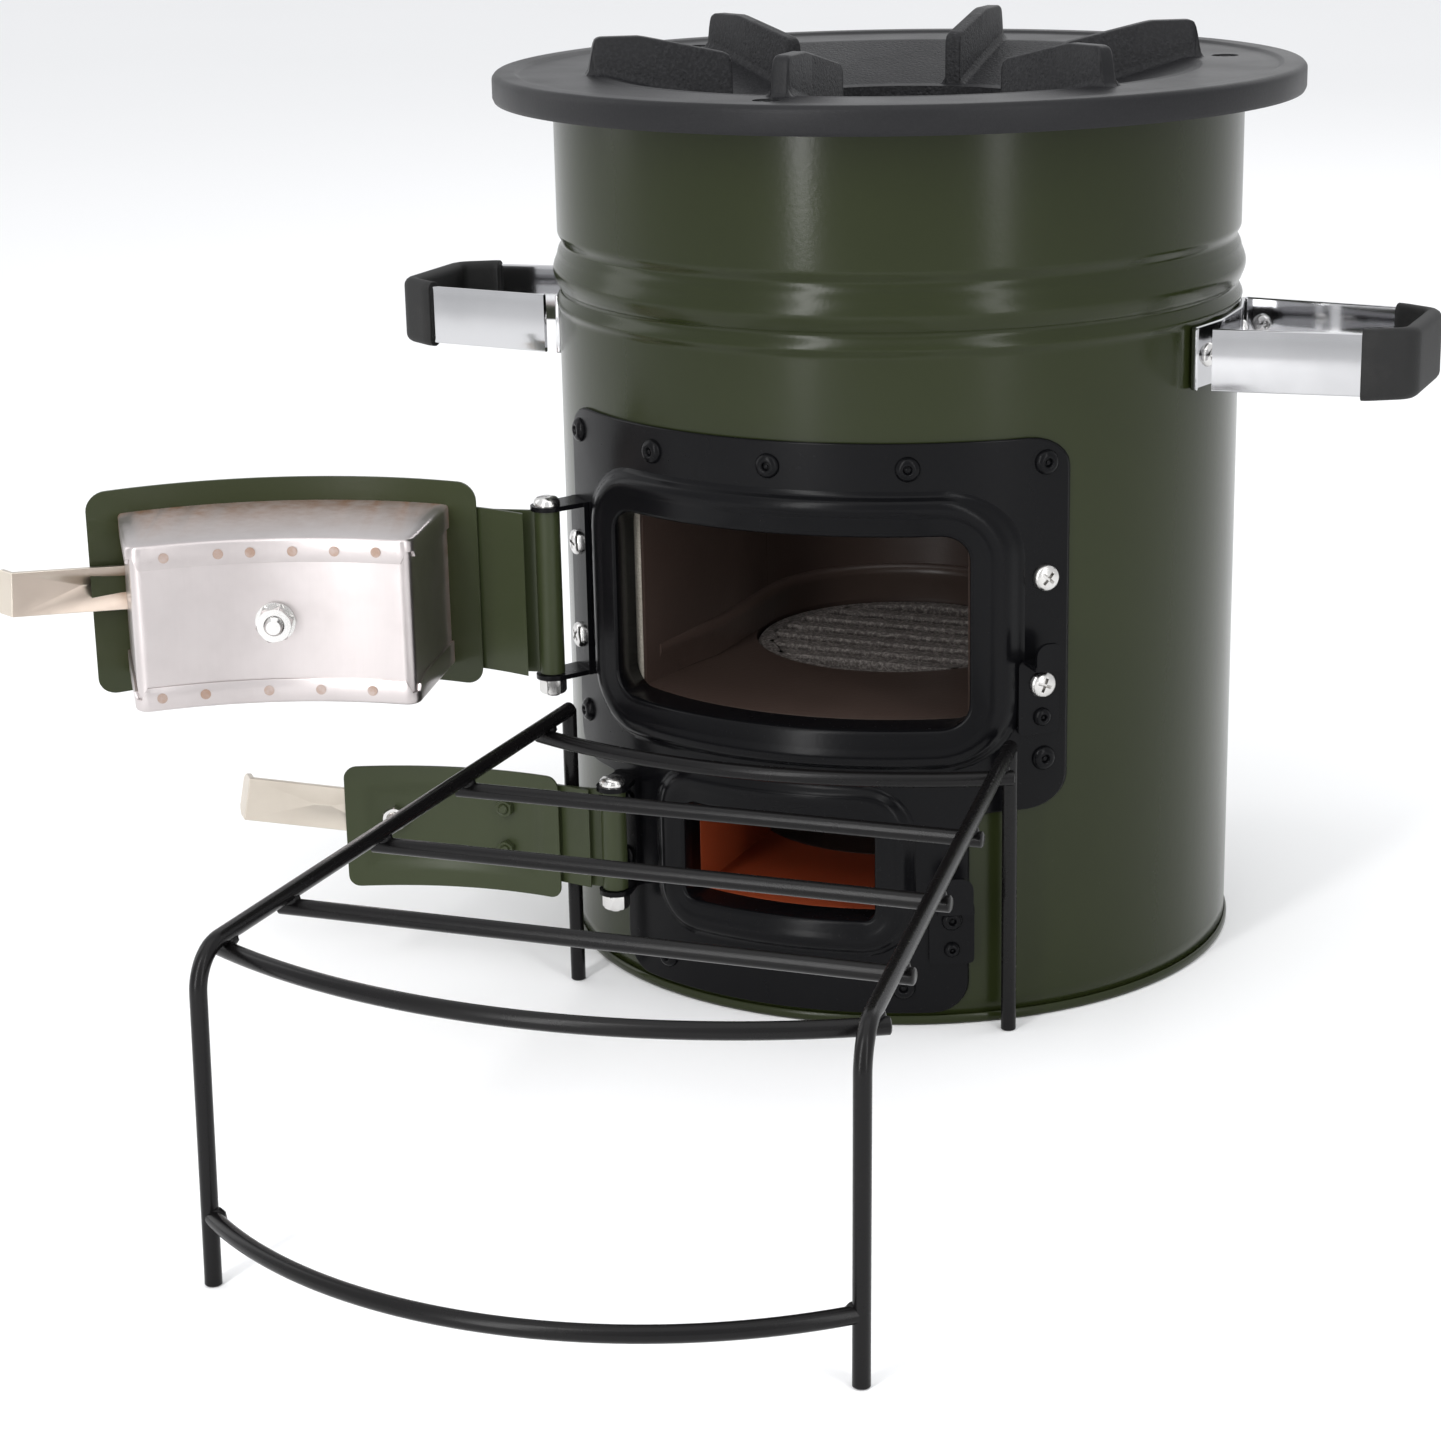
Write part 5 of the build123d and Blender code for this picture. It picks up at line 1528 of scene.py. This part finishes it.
# ---------------------------------------------------------------- wire shelf
@dataclass
class Shelf:
    """Free-standing wire shelf in front of the fuel opening."""

    rod: float = 2.45
    turn: float = 3.4
    skew: float = 0.04
    rear: tuple[float, float] = (-1.2, -103.0)
    rear_half: float = 75.4
    splay: float = 4.2
    long: float = 238.0
    top: float = 95.6
    bend: float = 12.0
    lean: float = 2.0
    bars: tuple[float, ...] = (76.0, 131.5, 187.0)
    front: float = 221.0
    front_bow: float = 24.0
    back: float = 16.0
    back_bow: float = 18.0
    drop: float = 4.6
    over: float = 3.5
    tie_z: float = 20.0
    tie_bow: float = 34.0

    def rail_x(self, side: int, along: float) -> float:
        """A rail's x at a distance from the rear."""
        return side * (self.rear_half + along * math.tan(math.radians(self.splay))) + self.skew * along

    @property
    def place(self) -> Matrix:
        """Where the shelf stands."""
        return Matrix.Translation((*self.rear, 0)) @ Matrix.Rotation(math.radians(self.turn), 4, "Z")

    def rail(self, side: int) -> list[Vector]:
        """Rail with the bend down into the front leg."""
        lean = self.top * math.tan(math.radians(self.lean))
        rear = Vector((self.rail_x(side, 0), 0, self.top))
        knee = Vector((self.rail_x(side, self.long), -self.long, self.top))
        foot = Vector((self.rail_x(side, self.long), -self.long - lean, 0.4))
        back, down = (rear - knee).normalized(), (foot - knee).normalized()
        half = back.angle(down) / 2
        reach = self.bend / math.tan(half)
        centre = knee + (back + down).normalized() * self.bend / math.sin(half)
        first, last = knee + back * reach - centre, knee + down * reach - centre
        axis = first.cross(last).normalized()
        sweep = first.angle(last)
        path = [rear.lerp(knee + back * reach, k / 20) for k in range(20)]
        path += [centre + Matrix.Rotation(sweep * k / 12, 3, axis) @ first for k in range(13)]
        start = path[-1]
        return path + [start.lerp(foot, k / 8) for k in range(1, 9)]

    def bow(self, along: float, z: float, bow: float, ends: float, over: float) -> list[Vector]:
        """Path of a bar that bows forwards."""
        left, right = self.rail_x(-1, ends) - over, self.rail_x(1, ends) + over
        return arc_path(Vector((left, -along, z)), Vector(((left + right) / 2, -along - bow, z)),
                        Vector((right, -along, z)), 48)

    def blob(self, form: Form, spot: Vector, size: float, flat: float) -> None:
        """Small smooth weld between two wires."""
        profile = [(0, -flat), (size * 0.62, -flat * 0.8), (size, -flat * 0.1), (size * 0.9, flat * 0.45),
                   (size * 0.5, flat * 0.9), (0, flat)]
        form.lathe(profile, Matrix.Translation(spot), 16)

    def wire(self, name: str, node: str, path: Sequence[Vector]) -> None:
        """One wire of the shelf."""
        form = Form().tube(path, self.rod, 18).moved(self.place)
        place_piece(name, form, Body.SHELF, Finish.SHELF, [node], sharp=50)

    def build(self) -> None:
        """Makes every wire and the welds."""
        for side, name in ((-1, "left"), (1, "right")):
            self.wire(f"{name}_rail", f"shelf_{name}_rail", self.rail(side))
            x = self.rail_x(side, 0)
            leg = [Vector((x, 0, self.top * k / 10 + (0.4 if k == 0 else 0))) for k in range(11)]
            self.wire(f"{name}_rear_leg", f"shelf_{name}_rear_leg", leg)
        under = self.top - self.drop
        welds = Form()
        for number, along in enumerate(self.bars, 1):
            ends = [Vector((self.rail_x(side, along) + side * self.over, -along, under)) for side in (-1, 1)]
            self.wire(f"cross_bar_{number}", f"shelf_bar_{number}", [ends[0].lerp(ends[1], k / 16) for k in range(17)])
        self.wire("front_bow", "shelf_front_bar", self.bow(self.front, under, self.front_bow, self.front, self.over))
        self.wire("rear_bow", "shelf_rear_bar", self.bow(self.back, under, self.back_bow, self.back, self.over))
        lean = (self.top - self.tie_z) * math.tan(math.radians(self.lean))
        self.wire("tie_bow", "shelf_tie_bar", self.bow(self.long + lean, self.tie_z, self.tie_bow, self.long, -0.6))
        for along in (*self.bars, self.front, self.back):
            for side in (-1, 1):
                spot = Vector((self.rail_x(side, along), -along, self.top - self.drop / 2))
                self.blob(welds, spot, 2.7, 2.2)
        for side in (-1, 1):
            spot = Vector((self.rail_x(side, self.long) - side * 2.0, -self.long - lean, self.tie_z))
            self.blob(welds, spot, 2.9, 2.9)
        place_piece("shelf_welds", welds.moved(self.place), Body.SHELF, Finish.SHELF, sharp=60)


# ---------------------------------------------------------------- studio
@dataclass(frozen=True)
class Lamp:
    """Rectangular softbox that looks at a point."""

    name: str
    angle: float
    distance: float
    height: float
    wide: float
    high: float
    watts: float
    aim: float = 0.15

    def build(self) -> None:
        """Makes the light."""
        light = bpy.data.lights.new(self.name, "AREA")
        light.shape = "RECTANGLE"
        light.size = self.wide
        light.size_y = self.high
        light.energy = self.watts
        lamp = bpy.data.objects.new(self.name, light)
        lamp.location = turned(self.distance, self.angle, self.height)
        lamp.rotation_euler = (Vector((0, 0, self.aim)) - lamp.location).to_track_quat("-Z", "Y").to_euler()
        lamp.visible_camera = False
        bpy.context.scene.collection.objects.link(lamp)


@dataclass
class Studio:
    """Pale floor, soft light and the camera."""

    lens: float = 79.41
    spot: tuple[float, float, float] = (0.3812, -1.0195, 0.3980)
    forward: tuple[float, float, float] = (-0.3867, 0.8752, -0.2907)
    roll: float = -0.0210
    lamps: tuple[Lamp, ...] = (
        Lamp("strip_left", -9.0, 1.15, 0.62, 0.13, 1.20, 6.5),
        Lamp("strip_right", 52.0, 1.2, 0.62, 0.16, 1.20, 3.5),
        Lamp("side_left", -80.0, 1.3, 0.70, 0.4, 1.2, 2.5),
        Lamp("overhead", 20.0, 0.5, 2.2, 2.2, 2.2, 12.0, 0.0),
        Lamp("rear", 175.0, 1.8, 1.4, 1.6, 1.0, 5.0),
    )

    def build(self) -> None:
        """Makes the camera, the floor, the world and the lights."""
        data = bpy.data.cameras.new("camera")
        data.lens = self.lens
        data.sensor_width = 36.0
        data.clip_start, data.clip_end = 0.05, 60.0
        camera = bpy.data.objects.new("camera", data)
        ahead = Vector(self.forward).normalized()
        right = ahead.cross(Vector((0, 0, 1))).normalized()
        up = right.cross(ahead)
        level, over = math.cos(self.roll), math.sin(self.roll)
        across, upward = right * level + up * over, up * level - right * over
        camera.matrix_world = Matrix((across, upward, -ahead)).transposed().to_4x4()
        camera.location = self.spot
        bpy.context.scene.collection.objects.link(camera)
        bpy.context.scene.camera = camera
        bpy.context.scene.view_settings.view_transform = "Standard"
        self.floor()
        world = bpy.data.worlds.new("studio")
        world.use_nodes = True
        world.node_tree.nodes["Background"].inputs["Color"].default_value = (0.97, 0.98, 1.0, 1.0)
        world.node_tree.nodes["Background"].inputs["Strength"].default_value = 0.92
        bpy.context.scene.world = world
        for lamp in self.lamps:
            lamp.build()

    @staticmethod
    def floor() -> None:
        """Wide pale floor."""
        form = Form().lathe([(0, -2.0), (9000, -2.0), (9000, 0.0), (0, 0.0)], steps=64)
        data = bpy.data.meshes.new("studio_floor")
        form.mesh.to_mesh(data)
        form.mesh.free()
        data.transform(Matrix.Scale(MM, 4))
        piece = bpy.data.objects.new("studio_floor", data)
        bpy.context.scene.collection.objects.link(piece)
        recipe = Recipe("studio_floor")
        cloud = recipe.noise(1.5, 2.0)
        data.materials.append(recipe.dress(Base_Color=recipe.mix(cloud, (0.93, 0.93, 0.93), (0.95, 0.95, 0.95)),
                                           Roughness=0.9, Specular_IOR_Level=0.1))


def main() -> None:
    logging.basicConfig(level=logging.INFO, format="%(name)s: %(message)s")
    Studio().build()
    Drum().build()
    DoorFrame().build()
    Chamber().build()
    Cooktop().build()
    FuelDoor().build()
    AirDoor().build()
    Handle(1).build()
    Handle(-1).build()
    Shelf().build()


if __name__ == "__main__":
    main()
